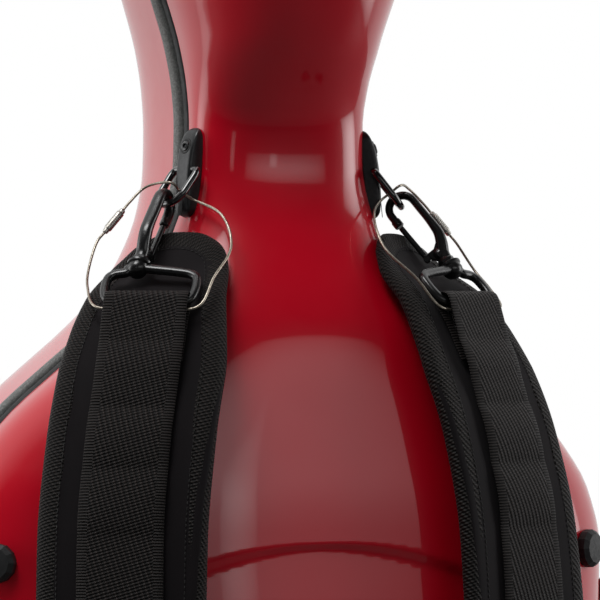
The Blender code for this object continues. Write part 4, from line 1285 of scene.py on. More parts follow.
class StrapBuilder:
    """A padded shoulder strap: foam pad, twill binding, and webbing sewn down its middle."""

    def __init__(self, side: Side, looks: Finishes) -> None:
        """Keeps the strap's form and the finishes.

        Args:
            side: The side of the case.
            looks: Every finish.
        """
        self.strap = Strap(side)
        self.looks = looks
        self.label = side.label

    def build(self) -> None:
        """Makes every piece of the strap."""
        self.pad()
        self.binding()
        self.webbing()

    def pad(self) -> None:
        """The foam pad in its knit cover, swollen by a cloth simulation."""
        strap = self.strap
        heights = np.concatenate([np.linspace(0.4820, 0.4920, 8)[:-1], np.linspace(0.4920, 0.950, 112)[:-1],
                                  np.linspace(0.950, 0.9690, 12)])
        rows = len(heights) - 1

        def place(u: float, v: float) -> Vector:
            """Round the pad with u, up it with v."""
            z = float(heights[min(rows, round(v * rows))])
            turn = 2 * math.pi * u
            a = strap.half_width(z) * math.copysign(abs(math.cos(turn)) ** 0.8, math.cos(turn))
            return strap.pad_point(a, z, 0.0, math.sin(turn) >= 0)

        mesh = skin((64, rows), place, True, (0.19, 0.49))
        obj = piece(
            f"pad_{self.label}", mesh, self.looks.knit, "case_back", "pad_fabric",
            [f"shoulder_pad_{self.label}"], 180
        )
        swell(obj, 0.0009)

    def outline(self, count: int) -> list[tuple[float, float, float, float]]:
        """The pad's edge as (across, height) points with the inward direction, all the way round."""
        strap = self.strap
        levels = smooth_rows([(0, z, w) for z, w in strap.WIDTHS], 12)[:, 1:]
        right = [(float(w), float(z)) for z, w in levels]
        ring = np.array([(w, z, 0.0) for w, z in right] + [(-w, z, 0.0) for w, z in reversed(right[1:-1])])
        line = spaced(ring, count, True)
        found = []
        for i, (a, z, _) in enumerate(line):
            after, before = line[(i + 1) % count], line[i - 1]
            du, dz = float(after[0] - before[0]), float(after[1] - before[1])
            size = math.hypot(du, dz) or 1.0
            inward = (dz / size, -du / size)
            if inward[0] * -a + inward[1] * (0.72 - z) < 0:
                inward = (-inward[0], -inward[1])
            found.append((float(a), float(z), inward[0], inward[1]))
        return found

    def binding(self) -> None:
        """The twill strip round the pad's edge, and its line of stitches."""
        strap, count = self.strap, 560
        ring = self.outline(count)
        reach = (0.0140, 0.0115, 0.0085, 0.0060, 0.0040, 0.0022, 0.0008)
        section = [(d, 0.0009 if d < 0.014 else 0.0003, True) for d in reach] + [(-0.0004, 0.0006, True)]
        section += [(d, 0.0009 if d < 0.014 else 0.0003, False) for d in reversed(reach)]
        under = [(0.0140, -0.0004, False), (0.0080, -0.0004, False), (0.0030, -0.0004, False)]
        section += under + [(d, h, True) for d, h, _ in reversed(under)]
        mesh = bmesh.new()
        cloth = mesh.loops.layers.uv.new("cloth")
        rings = []
        for a, z, ia, iz in ring:
            row = []
            for d, above, front in section:
                reach_a, reach_z = a + d * ia, z + d * iz
                if d < 0:
                    edge = strap.pad_point(a, z, 0.0, True) + strap.pad_point(a, z, 0.0, False)
                    inner = strap.pad_point(a + 0.004 * ia, z + 0.004 * iz, 0.0, True)
                    inner += strap.pad_point(a + 0.004 * ia, z + 0.004 * iz, 0.0, False)
                    row.append(mesh.verts.new(0.5 * edge + 0.0009 * (edge - inner).normalized()))
                else:
                    row.append(mesh.verts.new(strap.pad_point(reach_a, reach_z, above, front)))
            rings.append(row)
        spots = np.array([[v.co.x, v.co.y, v.co.z] for row in rings for v in (row[7],)])
        step = np.linalg.norm(np.diff(np.vstack([spots, spots[:1]]), axis=0), axis=1)
        along = np.concatenate([[0.0], np.cumsum(step)])
        widths = np.linspace(0, 0.030, len(section) + 1)
        for i in range(count):
            for j in range(len(section)):
                k, n = (j + 1) % len(section), (i + 1) % count
                face = mesh.faces.new([rings[i][j], rings[i][k], rings[n][k], rings[n][j]])
                for loop, (du, dv) in zip(face.loops, ((0, 0), (1, 0), (1, 1), (0, 1))):
                    loop[cloth].uv = (float(widths[j + du]), float(along[i + dv]))
        bmesh.ops.recalc_face_normals(mesh, faces=mesh.faces)
        obj = piece(f"binding_{self.label}", mesh, self.looks.binding, "case_back", "pad_fabric", (), 180)
        subdivide(obj)
        self.stitches(ring)

    def stitches(self, ring: Sequence[tuple[float, float, float, float]]) -> None:
        """Thread along the binding's inner edge.

        Args:
            ring: The pad's edge, with inward directions.
        """
        strap = self.strap
        line = np.array(
            [tuple(strap.pad_point(a + 0.0118 * ia, z + 0.0118 * iz, 0.00115, True)) for a, z, ia, iz in ring]
        )
        dashes = spaced(line, 330, True)
        mesh = bmesh.new()
        mesh.loops.layers.uv.new("cloth")
        for i in range(330):
            start, end = Vector(dashes[i]), Vector(dashes[(i + 1) % 330])
            along = end - start
            if along.length > 0.006:
                continue
            lift = along.cross(Vector((0, -1, 0.2))).normalized()
            over = lift.cross(along).normalized()
            rings = []
            for share, size in ((0.06, 0.35), (0.25, 1.0), (0.60, 1.0), (0.80, 0.35)):
                spot = start + share * along
                offsets = ((1, 0), (0, 1), (-1, 0), (0, -1))
                rings.append(
                    [mesh.verts.new(spot + 0.00032 * size * (p * lift + q * over)) for p, q in offsets]
                )
            for near, far in zip(rings, rings[1:]):
                for j in range(4):
                    mesh.faces.new([near[j], near[(j + 1) % 4], far[(j + 1) % 4], far[j]])
            mesh.faces.new(rings[0][::-1])
            mesh.faces.new(rings[-1])
        bmesh.ops.recalc_face_normals(mesh, faces=mesh.faces)
        piece(f"stitches_{self.label}", mesh, self.looks.thread, "case_back", "pad_fabric", (), 180)

    def spine(self) -> tuple[np.ndarray, list[Vector]]:
        """The webbing's middle line from its tail round the bar, down the pad and round the lower ring."""
        strap = self.strap
        bar, _, normal, down = strap.bar()
        flat, doubled = 0.0021, 0.0045
        rows: list[Vector] = []
        for z, h in ((0.889, flat), (0.901, flat), (0.912, flat + 0.0002)):
            rows.append(strap.over_pad(z, h))
        for a, b in arc((0, 0), strap.LOOP_RADIUS, 180, 0, 12):
            rows.append(bar + a * normal - b * down)
        for z, h in ((0.912, 0.0092), (0.900, doubled + 0.0016), (0.888, doubled), (0.878, 0.0026)):
            rows.append(strap.over_pad(z, h))
        rows += [strap.over_pad(float(z), flat) for z in np.linspace(0.868, 0.505, 50)]
        for z in (0.455, 0.400, 0.345, 0.300, 0.272):
            centre, _, out, _ = strap.station(strap.lower, z)
            rows.append(centre + 0.0014 * out)
        end, _, out, end_down = strap.station(strap.lower, 0.2400)
        rows.append(end + 0.0051 * out - 0.008 * end_down)
        for a, b in arc((0, 0), 0.0051, 0, 180, 10):
            rows.append(end + a * out + b * end_down)
        rows.append(end - 0.0040 * out - 0.010 * end_down)
        rows.append(end - 0.0022 * out - 0.030 * end_down)
        line = rounded_line([tuple(row) for row in rows], 6)
        wanted = int(line_length(line) / 0.0022)
        line = spaced(line, wanted)
        axes = []
        for x, y, z in line:
            rows_of = strap.core if z > 0.470 else strap.lower
            level = min(z, 0.965) if z > 0.470 else max(z, 0.240)
            axes.append(strap.station(rows_of, float(level))[1])
        return line, axes

    def webbing(self) -> None:
        """One strip of ribbed webbing, humped between its cross seams."""
        strap = self.strap
        line, axes = self.spine()
        half, thick, columns = strap.WEB_WIDTH / 2, 0.0008, 20
        centred = [half * (2 * i / columns - 1) for i in range(columns + 1)]
        section = [(a, thick * (1 - 0.7 * smooth_step((abs(a) - half + 0.0012) / 0.0012))) for a in centred]
        section += [(a, -b) for a, b in reversed(section)]
        mesh = bmesh.new()
        cloth = mesh.loops.layers.uv.new("cloth")
        rings, along = [], [0.0]
        top = max(range(len(line)), key=lambda i: line[i][2])
        out = None
        for i, spot in enumerate(line):
            before, after = line[max(i - 1, 0)], line[min(i + 1, len(line) - 1)]
            way = Vector((after - before).tolist()).normalized()
            facing = axes[i].cross(way).normalized()
            out = facing if out is None or facing.dot(out) > 0 else -facing
            z = float(spot[2])
            lift = hump(z) if i > top else 0.0
            # The direction away from the pad is the same as out past the top fold.
            away = facing if facing.y < 0 else -facing
            rings.append([
                mesh.verts.new(Vector(spot.tolist()) + a * axes[i] + b * out
                               + lift * (1 - (a / half) ** 4 * 0.55) * away) for a, b in section
            ])
            if i:
                along.append(along[-1] + float(np.linalg.norm(spot - line[i - 1])))
        total = len(section)
        for i in range(len(line) - 1):
            for j in range(total):
                k = (j + 1) % total
                face = mesh.faces.new([rings[i][j], rings[i][k], rings[i + 1][k], rings[i + 1][j]])
                for loop, (m, n) in zip(face.loops, ((j, i), (k, i), (k, i + 1), (j, i + 1))):
                    loop[cloth].uv = (section[m][0] + half, along[n])
        mesh.faces.new(rings[0])
        mesh.faces.new(rings[-1][::-1])
        bmesh.ops.recalc_face_normals(mesh, faces=mesh.faces)
        obj = piece(
            f"webbing_piece_{self.label}", mesh, self.looks.webbing, "case_back", "strap_webbing",
            [f"webbing_{self.label}"], 180,
        )
        subdivide(obj)


def hump(z: float) -> float:
    """How far the webbing bulges off the pad between its cross seams, at a height."""
    seams = (0.905, 0.868, 0.833, 0.796, 0.740)
    for high, low in zip(seams, seams[1:]):
        if low < z < high:
            size = 0.0028 if high - low < 0.045 else 0.0012
            return size * math.sin(math.pi * (z - low) / (high - low)) ** 0.6
    return 0.0


def swell(obj: bpy.types.Object, cap: float) -> None:
    """Blows a soft piece up with a cloth simulation, no point further than a cap, and applies it.

    Args:
        obj: The piece.
        cap: The furthest that a point may move.
    """
    rest = np.array([tuple(vert.co) for vert in obj.data.vertices])
    cloth = obj.modifiers.new("cover", "CLOTH")
    cloth.settings.use_pressure = True
    cloth.settings.uniform_pressure_force = 4.0
    cloth.settings.effector_weights.gravity = 0.0
    cloth.settings.quality = 4
    cloth.collision_settings.use_collision = False
    scene = bpy.context.scene
    cloth.point_cache.frame_start, cloth.point_cache.frame_end = 1, 12
    for frame in range(1, 13):
        scene.frame_set(frame)
    graph = bpy.context.evaluated_depsgraph_get()
    ready = obj.evaluated_get(graph).to_mesh()
    moved = np.array([tuple(vert.co) for vert in ready.vertices]) - rest
    obj.evaluated_get(graph).to_mesh_clear()
    obj.modifiers.remove(cloth)
    scene.frame_set(1)
    size = np.linalg.norm(moved, axis=1, keepdims=True)
    moved *= np.minimum(1.0, cap / np.maximum(size, 1e-9))
    for vert, place in zip(obj.data.vertices, rest + moved):
        vert.co = place.tolist()
    obj.data.update()
    kept = 1000 * float(np.linalg.norm(moved, axis=1).max())
    LOG.info("%s swelled by up to %.2f mm, cut to %.2f mm", obj.name, 1000 * float(size.max()), kept)


# --- Hooks, rings, frames and cables -------------------------------------------------------------

class Rig:
    """The axes of one side's anchor, ring, hook and frame."""

    ANCHOR_HEIGHT = 1.0060
    TUNNEL_OUT = 0.0068
    RING_LENGTH = 0.027
    RING_HALF_WIDTH = 0.0112
    HOOK_LENGTH = 0.046

    def __init__(self, side: Side) -> None:
        """Works the axes out.

        Args:
            side: The side of the case.
        """
        self.side = side
        self.strap = Strap(side)
        self.anchor = self.anchor_axes()
        columns = self.anchor.to_3x3().col
        self.centre = self.anchor @ Vector((self.TUNNEL_OUT, 0, 0))
        self.across = columns[1].copy()
        out = Vector((columns[0].x, columns[0].y, 0)).normalized()
        drop = math.radians(52)
        self.hang = (math.cos(drop) * out - math.sin(drop) * Vector((0, 0, 1))).normalized()
        self.hook = self.hook_axes()

    def mirrored(self, x: float, y: float, z: float) -> Vector:
        """A vector given for the right side, on this side."""
        return Vector((self.side.value * x, y, z))

    def anchor_axes(self) -> Matrix:
        """Local x out of the neck's flank, y across, z up, at the anchor's middle."""
        half, depth, _ = FORM.at(self.ANCHOR_HEIGHT)
        azimuth = math.radians(70)
        out = self.mirrored(math.sin(azimuth), -math.cos(azimuth), 0)
        power = FORM.POWER["back"]
        share = (math.tan(azimuth) * half / (depth - SEAM_BAND)) ** (1 / (power - 1))
        x = self.side.value * half * share / (1 + share**power) ** (1 / power)
        point = Vector((x, FORM.back_y(x, self.ANCHOR_HEIGHT), self.ANCHOR_HEIGHT))
        up = (Vector((0, 0, 1)) - 0.10 * out).normalized()
        lean_out = (out - out.dot(up) * up).normalized()
        return axes_matrix(point, lean_out, up.cross(lean_out), up)

    def hook_axes(self) -> Matrix:
        """Local x from gate to spine, y the thickness, z up the shank, at the swivel."""
        down = self.mirrored(0.470, -0.460, -0.753).normalized()
        up = -down
        thick = (self.across - self.across.dot(up) * up).normalized()
        turn = 0.0 if self.side is Side.RIGHT else math.radians(22)
        thick = Matrix.Rotation(turn, 3, up) @ thick
        lateral = thick.cross(up).normalized()
        if lateral.x * self.side.value < 0:
            lateral, thick = -lateral, -thick
        bar = self.centre + self.RING_LENGTH * self.hang
        return axes_matrix(bar + self.HOOK_LENGTH * down, lateral, thick, up)

    def cable_line(self) -> np.ndarray:
        """The safety cable's middle line, from one end of its clasp round to the other."""
        right = Rig(Side.RIGHT) if self.side is Side.LEFT else self
        through_ring = right.centre + 0.0165 * right.hang - 0.0060 * right.across
        through = right.across.cross(right.hang).normalized()
        if through.z < 0:
            through = -through
        bar, across, _, down = right.strap.bar()
        under = bar + 0.0044 * down
        clasp, along = right.clasp()
        first, last = clasp - 0.0093 * along, clasp + 0.0093 * along
        route = [
            first, first - 0.006 * along, Vector((0.1225, -0.0300, 0.9470)), Vector((0.1270, -0.0430, 0.9360))
        ]
        route += [under + 0.0300 * across, under, under - 0.0300 * across, Vector((0.0630, -0.0830, 0.9420))]
        route += [Vector((0.0480, -0.0700, 0.9600)), Vector((0.0480, -0.0530, 0.9790))]
        route += [through_ring - 0.0070 * through - 0.0034 * right.across, through_ring]
        route += [
            through_ring + 0.0070 * through, Vector((0.0840, -0.0200, 0.9960)), last + 0.006 * along, last
        ]
        fine = rounded_line([tuple(self.mirrored(*point)) for point in route], 24)
        return spaced(fine, 420)

    def clasp(self) -> tuple[Vector, Vector]:
        """Centre and direction of the cable's clasp."""
        return self.mirrored(0.1040, -0.0200, 0.9755), self.mirrored(-0.66, 0.05, 0.75).normalized()


class HardwareBuilder:
    """One side's anchor, ring, snap hook, swivel frame and safety cable."""

    def __init__(self, side: Side, looks: Finishes) -> None:
        """Works out the axes.

        Args:
            side: The side of the case.
            looks: Every finish.
        """
        self.side = side
        self.label = side.label
        self.rig = Rig(side)
        self.looks = looks

    def build(self) -> None:
        """Makes every piece."""
        self.cable()
        self.anchor()
        self.ring()
        self.hook()
        self.gate()
        self.frame()

    def anchor(self) -> None:
        """The long block screwed to the neck's flank, with its screw and slot."""
        axes = self.rig.anchor.to_3x3()
        place = axes_matrix(
            self.rig.anchor.translation, axes.col[1], axes.col[2], axes.col[1].cross(axes.col[2])
        )
        profile = [
            (-0.0290, 0.0022), (-0.0276, 0.0062), (-0.0240, 0.0084), (-0.0140, 0.0098), (-0.0020, 0.0102)
        ]
        profile += [(0.0100, 0.0096), (0.0180, 0.0078), (0.0236, 0.0050), (0.0256, 0.0022)]
        levels = smooth_rows([(0, z, out) for z, out in profile], 6)[:, 1:]
        flip = 1 if (axes.col[1].cross(axes.col[2])).dot(axes.col[0]) > 0 else -1

        def surface(u: float, v: float) -> Vector:
            """Round the block's level section with u, up it with v."""
            z, out = levels[min(len(levels) - 1, round(v * (len(levels) - 1)))]
            ends = min(1.0, (z + 0.0290) / 0.0065, (0.0257 - z) / 0.0065)
            half = 0.0066 * math.sqrt(max(0.0, 1 - (1 - max(0.0, ends)) ** 2))
            turn = 2 * math.pi * u
            x = half * math.copysign(abs(math.cos(turn)) ** 0.42, math.cos(turn))
            middle, deep = 0.5 * (out - 0.0010), 0.5 * (out + 0.0010)
            h = middle + deep * math.copysign(abs(math.sin(turn)) ** 0.30, math.sin(turn))
            return place @ Vector((x, float(z), flip * h))

        block = skin((56, len(levels) - 1), surface, True, (0.04, 0.05))
        obj = piece(
            f"anchor_block_{self.label}", block, self.looks.satin, "case_back", "black_hardware",
            [f"strap_anchor_{self.label}"], 38,
        )
        obj.data.update()
        seat = self.rig.anchor @ Matrix.Translation((0.00835, 0, 0.0136)) @ Matrix.Rotation(
            math.radians(79), 4, "Y"
        )
        rim = lathe([(0.0, 0.00020), (0.0034, 0.00020), (0.0038, 0.00075), (0.0046, 0.0008), (0.0050, 0.0002),
                     (0.0050, -0.0010), (0.0, -0.0010)], 36, seat)
        piece(f"screw_seat_{self.label}", rim, self.looks.rubber, "case_back", "black_hardware", (), 30)
        recess = [(0.0, 0.0004), (0.0014, 0.0004), (0.0015, 0.0014), (0.0021, 0.0017), (0.0030, 0.0013),
                  (0.0034, 0.0003), (0.0, 0.0003)]
        piece(
            f"screw_{self.label}", lathe(recess, 36, seat), self.looks.enamel, "case_back", "black_hardware",
            [f"anchor_screw_{self.label}"], 35,
        )
        slot = [(0.0019 * math.cos(t), 0.0062 + 0.0019 * math.sin(t)) for t in np.linspace(0, math.pi, 9)]
        slot += [
            (0.0019 * math.cos(t), -0.0062 + 0.0019 * math.sin(t))
            for t in np.linspace(math.pi, 2 * math.pi, 9)
        ]
        spot = self.rig.anchor @ Matrix.Translation(
            (0.00925, 0, -0.0200)
        ) @ Matrix.Rotation(math.pi / 2, 4, "Z")
        spot = spot @ Matrix.Rotation(math.pi / 2, 4, "X")
        mesh = slab(slot, -0.0001, 0.00025, 0.0, spot)
        piece(f"anchor_slot_{self.label}", mesh, self.looks.rubber, "case_back", "black_hardware", (), 30)

    def ring(self) -> None:
        """The glossy D ring that hangs from the anchor."""
        half, end = self.rig.RING_HALF_WIDTH, self.rig.RING_LENGTH - self.rig.RING_HALF_WIDTH
        flat = [(-0.0050, 0.0), (0.0050, 0.0), (half - 0.0015, 0.0006), (half, 0.0030), (half, end - 0.0020)]
        flat += arc((0, end), half, 15, 165, 10)
        flat += [(-half, end - 0.0020), (-half, 0.0030), (-half + 0.0015, 0.0006)]
        points = [tuple(self.rig.centre + a * self.rig.across + h * self.rig.hang) for a, h in flat]
        line = rounded_line(points + points[:1], 8)
        line = spaced(line[:-1], 150, True)
        mesh = sweep(line, round_section(0.0022), 20, True)
        piece(
            f"ring_rod_{self.label}", mesh, self.looks.gloss, f"ring_{self.label}", "black_hardware",
            [f"d_ring_{self.label}"], 60,
        )

    def hook(self) -> None:
        """The snap hook's body: collar, shank, bend and nose."""
        axes = self.rig.hook.to_3x3()
        origin = self.rig.hook.translation
        lat, thick, up = (axes.col[k].copy() for k in range(3))
        bend, top = 0.0082, self.rig.HOOK_LENGTH - 0.0015
        flat = [(0.0004, 0.0010), (0.0016, 0.0065), (0.0052, 0.0125), (0.0076, 0.0185), (bend, 0.0260)]
        flat += [(bend, top - 0.006)] + arc((0, top), bend, 8, 172, 12)
        flat += [(-bend, 0.0410), (-bend, 0.0374)]
        line = rounded_line([tuple(origin + x * lat + z * up) for x, z in flat], 8)
        line = spaced(line, 130)

        def section(u: float, v: float) -> tuple[float, float]:
            """Deep and faceted at the shank, rounder over the bend."""
            turn = 2 * math.pi * u
            c, s = math.cos(turn), math.sin(turn)
            deep = 0.0042 - 0.0018 * smooth_step(v / 0.45)
            wide = 0.0039 - 0.0008 * smooth_step((v - 0.45) / 0.4)
            close = 1.0 - 0.55 * smooth_step((v - 0.985) / 0.015)
            a = deep * close * math.copysign(abs(c) ** 0.80, c)
            return a, wide * close * math.copysign(abs(s) ** 0.86, s)

        body = sweep(line, section, 26, False, thick)
        seat = axes_matrix(origin, lat, thick, up)
        collar = lathe(
            [(0.0, -0.0004), (0.0047, -0.0004), (0.0054, 0.0006), (0.0054, 0.0022), (0.0046, 0.0034),
            (0.0036, 0.0048),
             (0.0040, 0.0058), (0.0046, 0.0072), (0.0042, 0.0094), (0.0030, 0.0114), (0.0, 0.0120)], 10, seat)
        tongue = slab([(-0.0058, 0.0078), (-0.0030, 0.0048), (0.0030, 0.0048), (0.0058, 0.0120),
            (0.0070, 0.0200),
                       (0.0030, 0.0150), (-0.0010, 0.0122), (-0.0062, 0.0122)], -0.0024, 0.0024, 0.0007,
                      axes_matrix(origin, lat, up, lat.cross(up)))
        tip = origin - bend * lat + 0.0385 * up
        sleeve = lathe([(0.0, -0.0022), (0.0025, -0.0022), (0.0030, -0.0016), (0.0030, 0.0022),
            (0.0026, 0.0030),
                        (0.0, 0.0030)], 24, axes_matrix(tip, lat, thick, up))
        piece(
            f"hook_body_{self.label}", joined(body, collar, tongue, sleeve), self.looks.enamel,
            f"hook_{self.label}",
            "black_hardware", [f"snap_hook_{self.label}"], 32,
        )

    def gate(self) -> None:
        """The hook's sprung gate."""
        axes = self.rig.hook.to_3x3()
        origin = self.rig.hook.translation
        lat, thick, up = (axes.col[k].copy() for k in range(3))
        line = rounded_line([tuple(origin + x * lat + z * up) for x, z in
                             ((-0.0076, 0.0095), (-0.0078, 0.0180), (-0.0080, 0.0270),
                             (-0.0081, 0.0354))], 12)
        rod = sweep(spaced(line, 40), box_section(0.0017, 0.0018, 2.3), 18, False, thick)
        root = lathe([(0.0, -0.0021), (0.0020, -0.0021), (0.0023, -0.0017), (0.0023, 0.0017),
            (0.0020, 0.0021),
                      (0.0, 0.0021)], 24, axes_matrix(origin - 0.0076 * lat + 0.0100 * up, lat, up, thick))
        piece(
            f"gate_rod_{self.label}", joined(rod, root), self.looks.enamel, f"gate_{self.label}",
            "black_hardware",
            [f"hook_gate_{self.label}"], 40,
        )

    def frame(self) -> None:
        """The cast frame that carries the webbing's loop under the hook's swivel."""
        bar, across, _, _ = self.rig.strap.bar()
        swivel = self.rig.hook.translation
        reach = bar - swivel
        reach -= reach.dot(across) * across
        length, down = reach.length, reach.normalized()
        origin = bar - length * down
        out = across.cross(down)
        shift = (swivel - origin).dot(across)
        half = 0.0262
        flat = [(shift, 0.0040), (shift + 0.006, 0.0052), (half - 0.010, 0.0080), (half - 0.0035, 0.0098)]
        flat += [
            (half, 0.0130), (half, length - 0.0045), (half - 0.0030, length), (half - 0.012, length),
            (0, length)
        ]
        left = [(-a, d) for a, d in flat[2:-1]][::-1]
        flat += left + [(shift - 0.006, 0.0052), (shift, 0.0040)]
        line = rounded_line([tuple(origin + a * across + d * down) for a, d in flat], 8)
        rod = sweep(spaced(line, 240), box_section(0.0027, 0.0026, 2.4), 20, False, out)
        up = self.rig.hook.to_3x3().col[2].copy()
        side = up.cross(across).normalized()
        seat = axes_matrix(swivel, across, side, up)
        boss = lathe([(0.0, -0.0100), (0.0030, -0.0098), (0.0052, -0.0082), (0.0062, -0.0058),
            (0.0060, -0.0034),
                      (0.0072, -0.0026), (0.0074, -0.0014), (0.0066, -0.0007), (0.0, -0.0007)], 32, seat)
        piece(
            f"frame_rod_{self.label}", joined(rod, boss), self.looks.enamel, "case_back", "black_hardware",
            [f"strap_frame_{self.label}"], 40,
        )

    def cable(self) -> None:
        """The twisted steel safety cable and its turned clasp."""
        line = self.rig.cable_line()
        length = line_length(line)
        radius, strands, lay = 0.00075, 6, 0.0052

        def section(u: float, v: float) -> tuple[float, float]:
            """A bundle of strands that twist as they go."""
            twist = 2 * math.pi * (u * strands + strands * v * length / lay)
            r = radius * (1.0 + 0.13 * abs(math.cos(twist / 2)) - 0.07)
            turn = 2 * math.pi * u
            return r * math.cos(turn), r * math.sin(turn)

        fine = spaced(line, 700)
        wire = piece(
            f"cable_wire_{self.label}", sweep(fine, section, 24), self.looks.wire, "case_back", "cable_steel",
            [f"safety_cable_{self.label}"], 180,
        )
        centre, along = self.rig.clasp()
        side = along.cross(Vector((0, 1, 0))).normalized()
        seat = axes_matrix(centre, side, along.cross(side), along)
        profile = [(0.0, -0.0090), (0.0013, -0.0090), (0.0017, -0.0084), (0.0018, -0.0066), (0.0023, -0.0060)]
        for i in range(9):
            z = -0.0050 + 0.00125 * i
            profile += [(0.0024, z), (0.0024, z + 0.0007), (0.00228, z + 0.0009), (0.00228, z + 0.0011)]
        profile += [(0.0024, 0.0064), (0.0018, 0.0068), (0.0018, 0.0084), (0.0013, 0.0090), (0.0, 0.0090)]
        barrel = piece(
            f"clasp_barrel_{self.label}", lathe(profile, 32, seat), self.looks.steel, "case_back",
            "cable_steel",
            [f"cable_clasp_{self.label}"], 30,
        )
        [tuple(p) for p in spaced(line, 140)]


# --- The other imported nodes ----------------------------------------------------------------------

NODE_LOOKS = {
    "rubber": (
        "foot_1", "foot_2", "foot_3", "foot_4", "back_foot_1", "back_foot_2", "back_foot_3", "back_foot_4"
    ),
    "steel": (
        "hinge_leaf_back_lower", "hinge_leaf_back_upper", "hinge_leaf_lid_lower", "hinge_leaf_lid_upper",
        "hinge_pin_lower", "hinge_pin_upper", "latch_base_1", "latch_base_2", "latch_base_3", "latch_catch_1",
        "latch_catch_2", "latch_catch_3", "latch_lever_1", "latch_lever_2", "latch_lever_3",
    ),
    "plastic": ("bow_clip", "handle_grip", "handle_mount_lower", "handle_mount_upper"),
    "velour": ("neck_cradle",),
    "enamel": (
        "adjuster_left", "adjuster_right", "lower_anchor_left", "lower_anchor_right", "lower_ring_left",
        "lower_ring_right",
    ),
}


def dress_nodes(nodes: dict[str, bpy.types.Object], looks: Finishes) -> None:
    """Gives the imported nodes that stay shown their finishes.

    Args:
        nodes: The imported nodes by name.
        looks: Every finish.
    """
    for look, names in NODE_LOOKS.items():
        for name in names:
            node = nodes[name]
            node.data.materials.clear()
            node.data.materials.append(getattr(looks, look))


# --- Studio --------------------------------------------------------------------------------------

@dataclass(frozen=True)
class Softbox:
    """An area light that faces the case, brightest in its middle."""

    name: str
    azimuth: float
    elevation: float
    distance: float
    width: float
    height: float
    power: float

    def build(self) -> None:
        """Makes the light."""
        data = bpy.data.lights.new(self.name, "AREA")
        data.shape = "RECTANGLE"
        data.size, data.size_y = self.width, self.height
        data.energy = self.power
        self.fall_off(data)
        lamp = bpy.data.objects.new(self.name, data)
        turn, rise = math.radians(self.azimuth), math.radians(self.elevation)
        way = Vector((math.sin(turn) * math.cos(rise), -math.cos(turn) * math.cos(rise), math.sin(rise)))
        lamp.location = Vector((0, 0, 0.92)) + self.distance * way
        lamp.rotation_euler = (-way).to_track_quat("-Z", "Y").to_euler()
        bpy.context.scene.collection.objects.link(lamp)

    def fall_off(self, data: bpy.types.Light) -> None:
        """Softens the light towards its edges.

        Args:
            data: The light.
        """
        data.use_nodes = True
        nodes, links = data.node_tree.nodes, data.node_tree.links
        nodes.clear()
        spot = nodes.new("ShaderNodeNewGeometry")
        spot.label = "Place on the light"
        spot.location = (-900, 0)
        split = nodes.new("ShaderNodeSeparateXYZ")
        split.label = "Across and up"
        split.location = (-700, 0)
        across = nodes.new("ShaderNodeFloatCurve")
        across.label = "Fades across"
        across.location = (-500, 150)
        up = nodes.new("ShaderNodeFloatCurve")
        up.label = "Fades upwards"
        up.location = (-500, -200)
        for curve in (across, up):
            line = curve.mapping.curves[0]
            line.points[0].location = (0.0, 0.0)
            line.points[1].location = (1.0, 0.0)
            line.points.new(0.25, 0.8)
            line.points.new(0.75, 0.8)
            line.points.new(0.5, 1.0)
            curve.mapping.update()
        both = nodes.new("ShaderNodeMath")
        both.label = "Both ways"
        both.operation = "MULTIPLY"
        both.location = (-200, 0)
        glow = nodes.new("ShaderNodeEmission")
        glow.label = "Light"
        glow.location = (0, 0)
        out = nodes.new("ShaderNodeOutputLight")
        out.label = "Lamp"
        out.location = (200, 0)
        links.new(spot.outputs["Parametric"], split.inputs["Vector"])
        links.new(split.outputs["X"], across.inputs["Value"])
        links.new(split.outputs["Y"], up.inputs["Value"])
        links.new(across.outputs["Value"], both.inputs[0])
        links.new(up.outputs["Value"], both.inputs[1])
        links.new(both.outputs["Value"], glow.inputs["Strength"])
        links.new(glow.outputs["Emission"], out.inputs["Surface"])


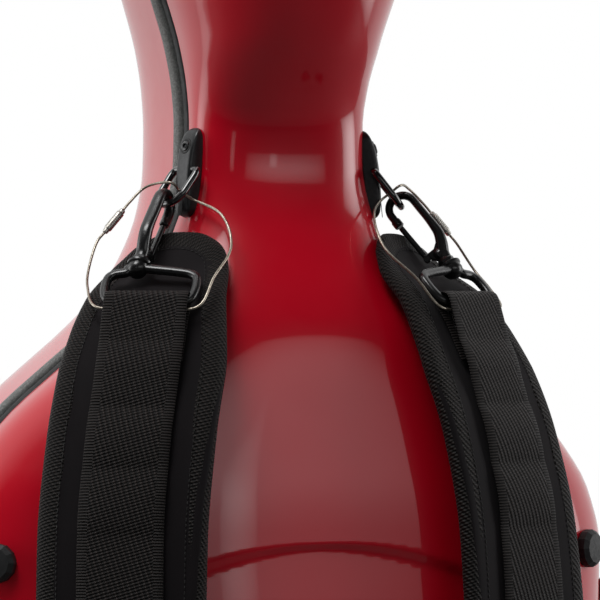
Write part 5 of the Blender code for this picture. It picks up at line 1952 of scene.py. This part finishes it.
class Studio:
    """White surroundings, soft lights, a pale floor and the camera."""

    TARGET = Vector((0.0179, -0.0065, 0.929))
    LIGHTS = (
        Softbox("front_panel", 14, 12, 3.2, 3.2, 1.3, 15),
        Softbox("left_strip", -28, 4, 2.7, 0.30, 1.1, 1.0),
        Softbox("small_box", 10, 6, 2.7, 0.26, 0.5, 0.5),
        Softbox("right_box", 76, 5, 2.4, 1.3, 2.2, 40),
        Softbox("left_box", -110, 6, 2.4, 1.4, 2.2, 24),
        Softbox("top_box", -60, 62, 2.6, 1.6, 1.2, 70),
    )

    def build(self) -> None:
        """Makes the surroundings."""
        scene = bpy.context.scene
        scene.view_settings.view_transform = "Standard"
        for light in self.LIGHTS:
            light.build()
        self.world()
        self.floor()
        self.camera()

    def camera(self) -> None:
        """A long lens from behind the case's left."""
        data = bpy.data.cameras.new("camera")
        data.sensor_width, data.lens = 36, 218
        cam = bpy.data.objects.new("camera", data)
        turn = math.radians(-20)
        cam.location = self.TARGET + 2.2 * Vector((math.sin(turn), -math.cos(turn), 0))
        cam.rotation_euler = (self.TARGET - cam.location).to_track_quat("-Z", "Y").to_euler()
        bpy.context.scene.collection.objects.link(cam)
        bpy.context.scene.camera = cam

    def world(self) -> None:
        """White behind the case; a dim room in front of it, which the gloss mirrors."""
        world = bpy.data.worlds.new("room")
        bpy.context.scene.world = world
        world.use_nodes = True
        nodes, links = world.node_tree.nodes, world.node_tree.links
        nodes.clear()
        place = nodes.new("ShaderNodeTexCoord")
        place.label = "Direction"
        place.location = (-900, 0)
        split = nodes.new("ShaderNodeSeparateXYZ")
        split.label = "Front to back"
        split.location = (-700, 0)
        tone = nodes.new("ShaderNodeValToRGB")
        tone.label = "Dim in front, white behind"
        tone.location = (-500, 0)
        tone.color_ramp.elements[0].position = 0.38
        tone.color_ramp.elements[0].color = (0.025, 0.025, 0.027, 1)
        tone.color_ramp.elements[1].position = 0.62
        tone.color_ramp.elements[1].color = (0.82, 0.82, 0.82, 1)
        spread = nodes.new("ShaderNodeMapRange")
        spread.label = "Share from front to back"
        spread.location = (-600, 200)
        spread.inputs["From Min"].default_value = -1.0
        seen = nodes.new("ShaderNodeLightPath")
        seen.label = "Seen by the camera"
        seen.location = (-500, 300)
        pick = nodes.new("ShaderNodeMix")
        pick.label = "Plain white backdrop"
        pick.data_type = "RGBA"
        pick.location = (-200, 100)
        pick.inputs["B"].default_value = (1, 1, 1, 1)
        glow = nodes.new("ShaderNodeBackground")
        glow.label = "Surroundings"
        glow.location = (0, 100)
        out = nodes.new("ShaderNodeOutputWorld")
        out.label = "World"
        out.location = (200, 100)
        links.new(place.outputs["Generated"], split.inputs["Vector"])
        links.new(split.outputs["Y"], spread.inputs["Value"])
        links.new(spread.outputs["Result"], tone.inputs["Fac"])
        links.new(seen.outputs["Is Camera Ray"], pick.inputs["Factor"])
        links.new(tone.outputs["Color"], pick.inputs["A"])
        links.new(pick.outputs["Result"], glow.inputs["Color"])
        links.new(glow.outputs["Background"], out.inputs["Surface"])

    def floor(self) -> None:
        """A round floor, which is no part of the case."""
        mesh = bmesh.new()
        bmesh.ops.create_circle(mesh, cap_ends=True, radius=3.0, segments=96)
        data = bpy.data.meshes.new("floor")
        mesh.to_mesh(data)
        mesh.free()
        data.materials.append(
            moulded(Moulding("studio_floor", (0.10, 0.10, 0.10), (0.12, 0.12, 0.12), 0.6, 200, 0.0001))
        )
        floor = bpy.data.objects.new("floor", data)
        bpy.context.scene.collection.objects.link(floor)


def main() -> None:
    """Builds the case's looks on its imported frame."""
    logging.basicConfig(level=logging.INFO, format="%(name)s %(levelname)s %(message)s")
    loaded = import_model()
    looks = Finishes()
    Studio().build()
    for side in Side:
        HardwareBuilder(side, looks).build()
        StrapBuilder(side, looks).build()
    Shells(looks).build()
    dress_nodes(loaded["nodes"], looks)


if __name__ == "__main__":
    main()
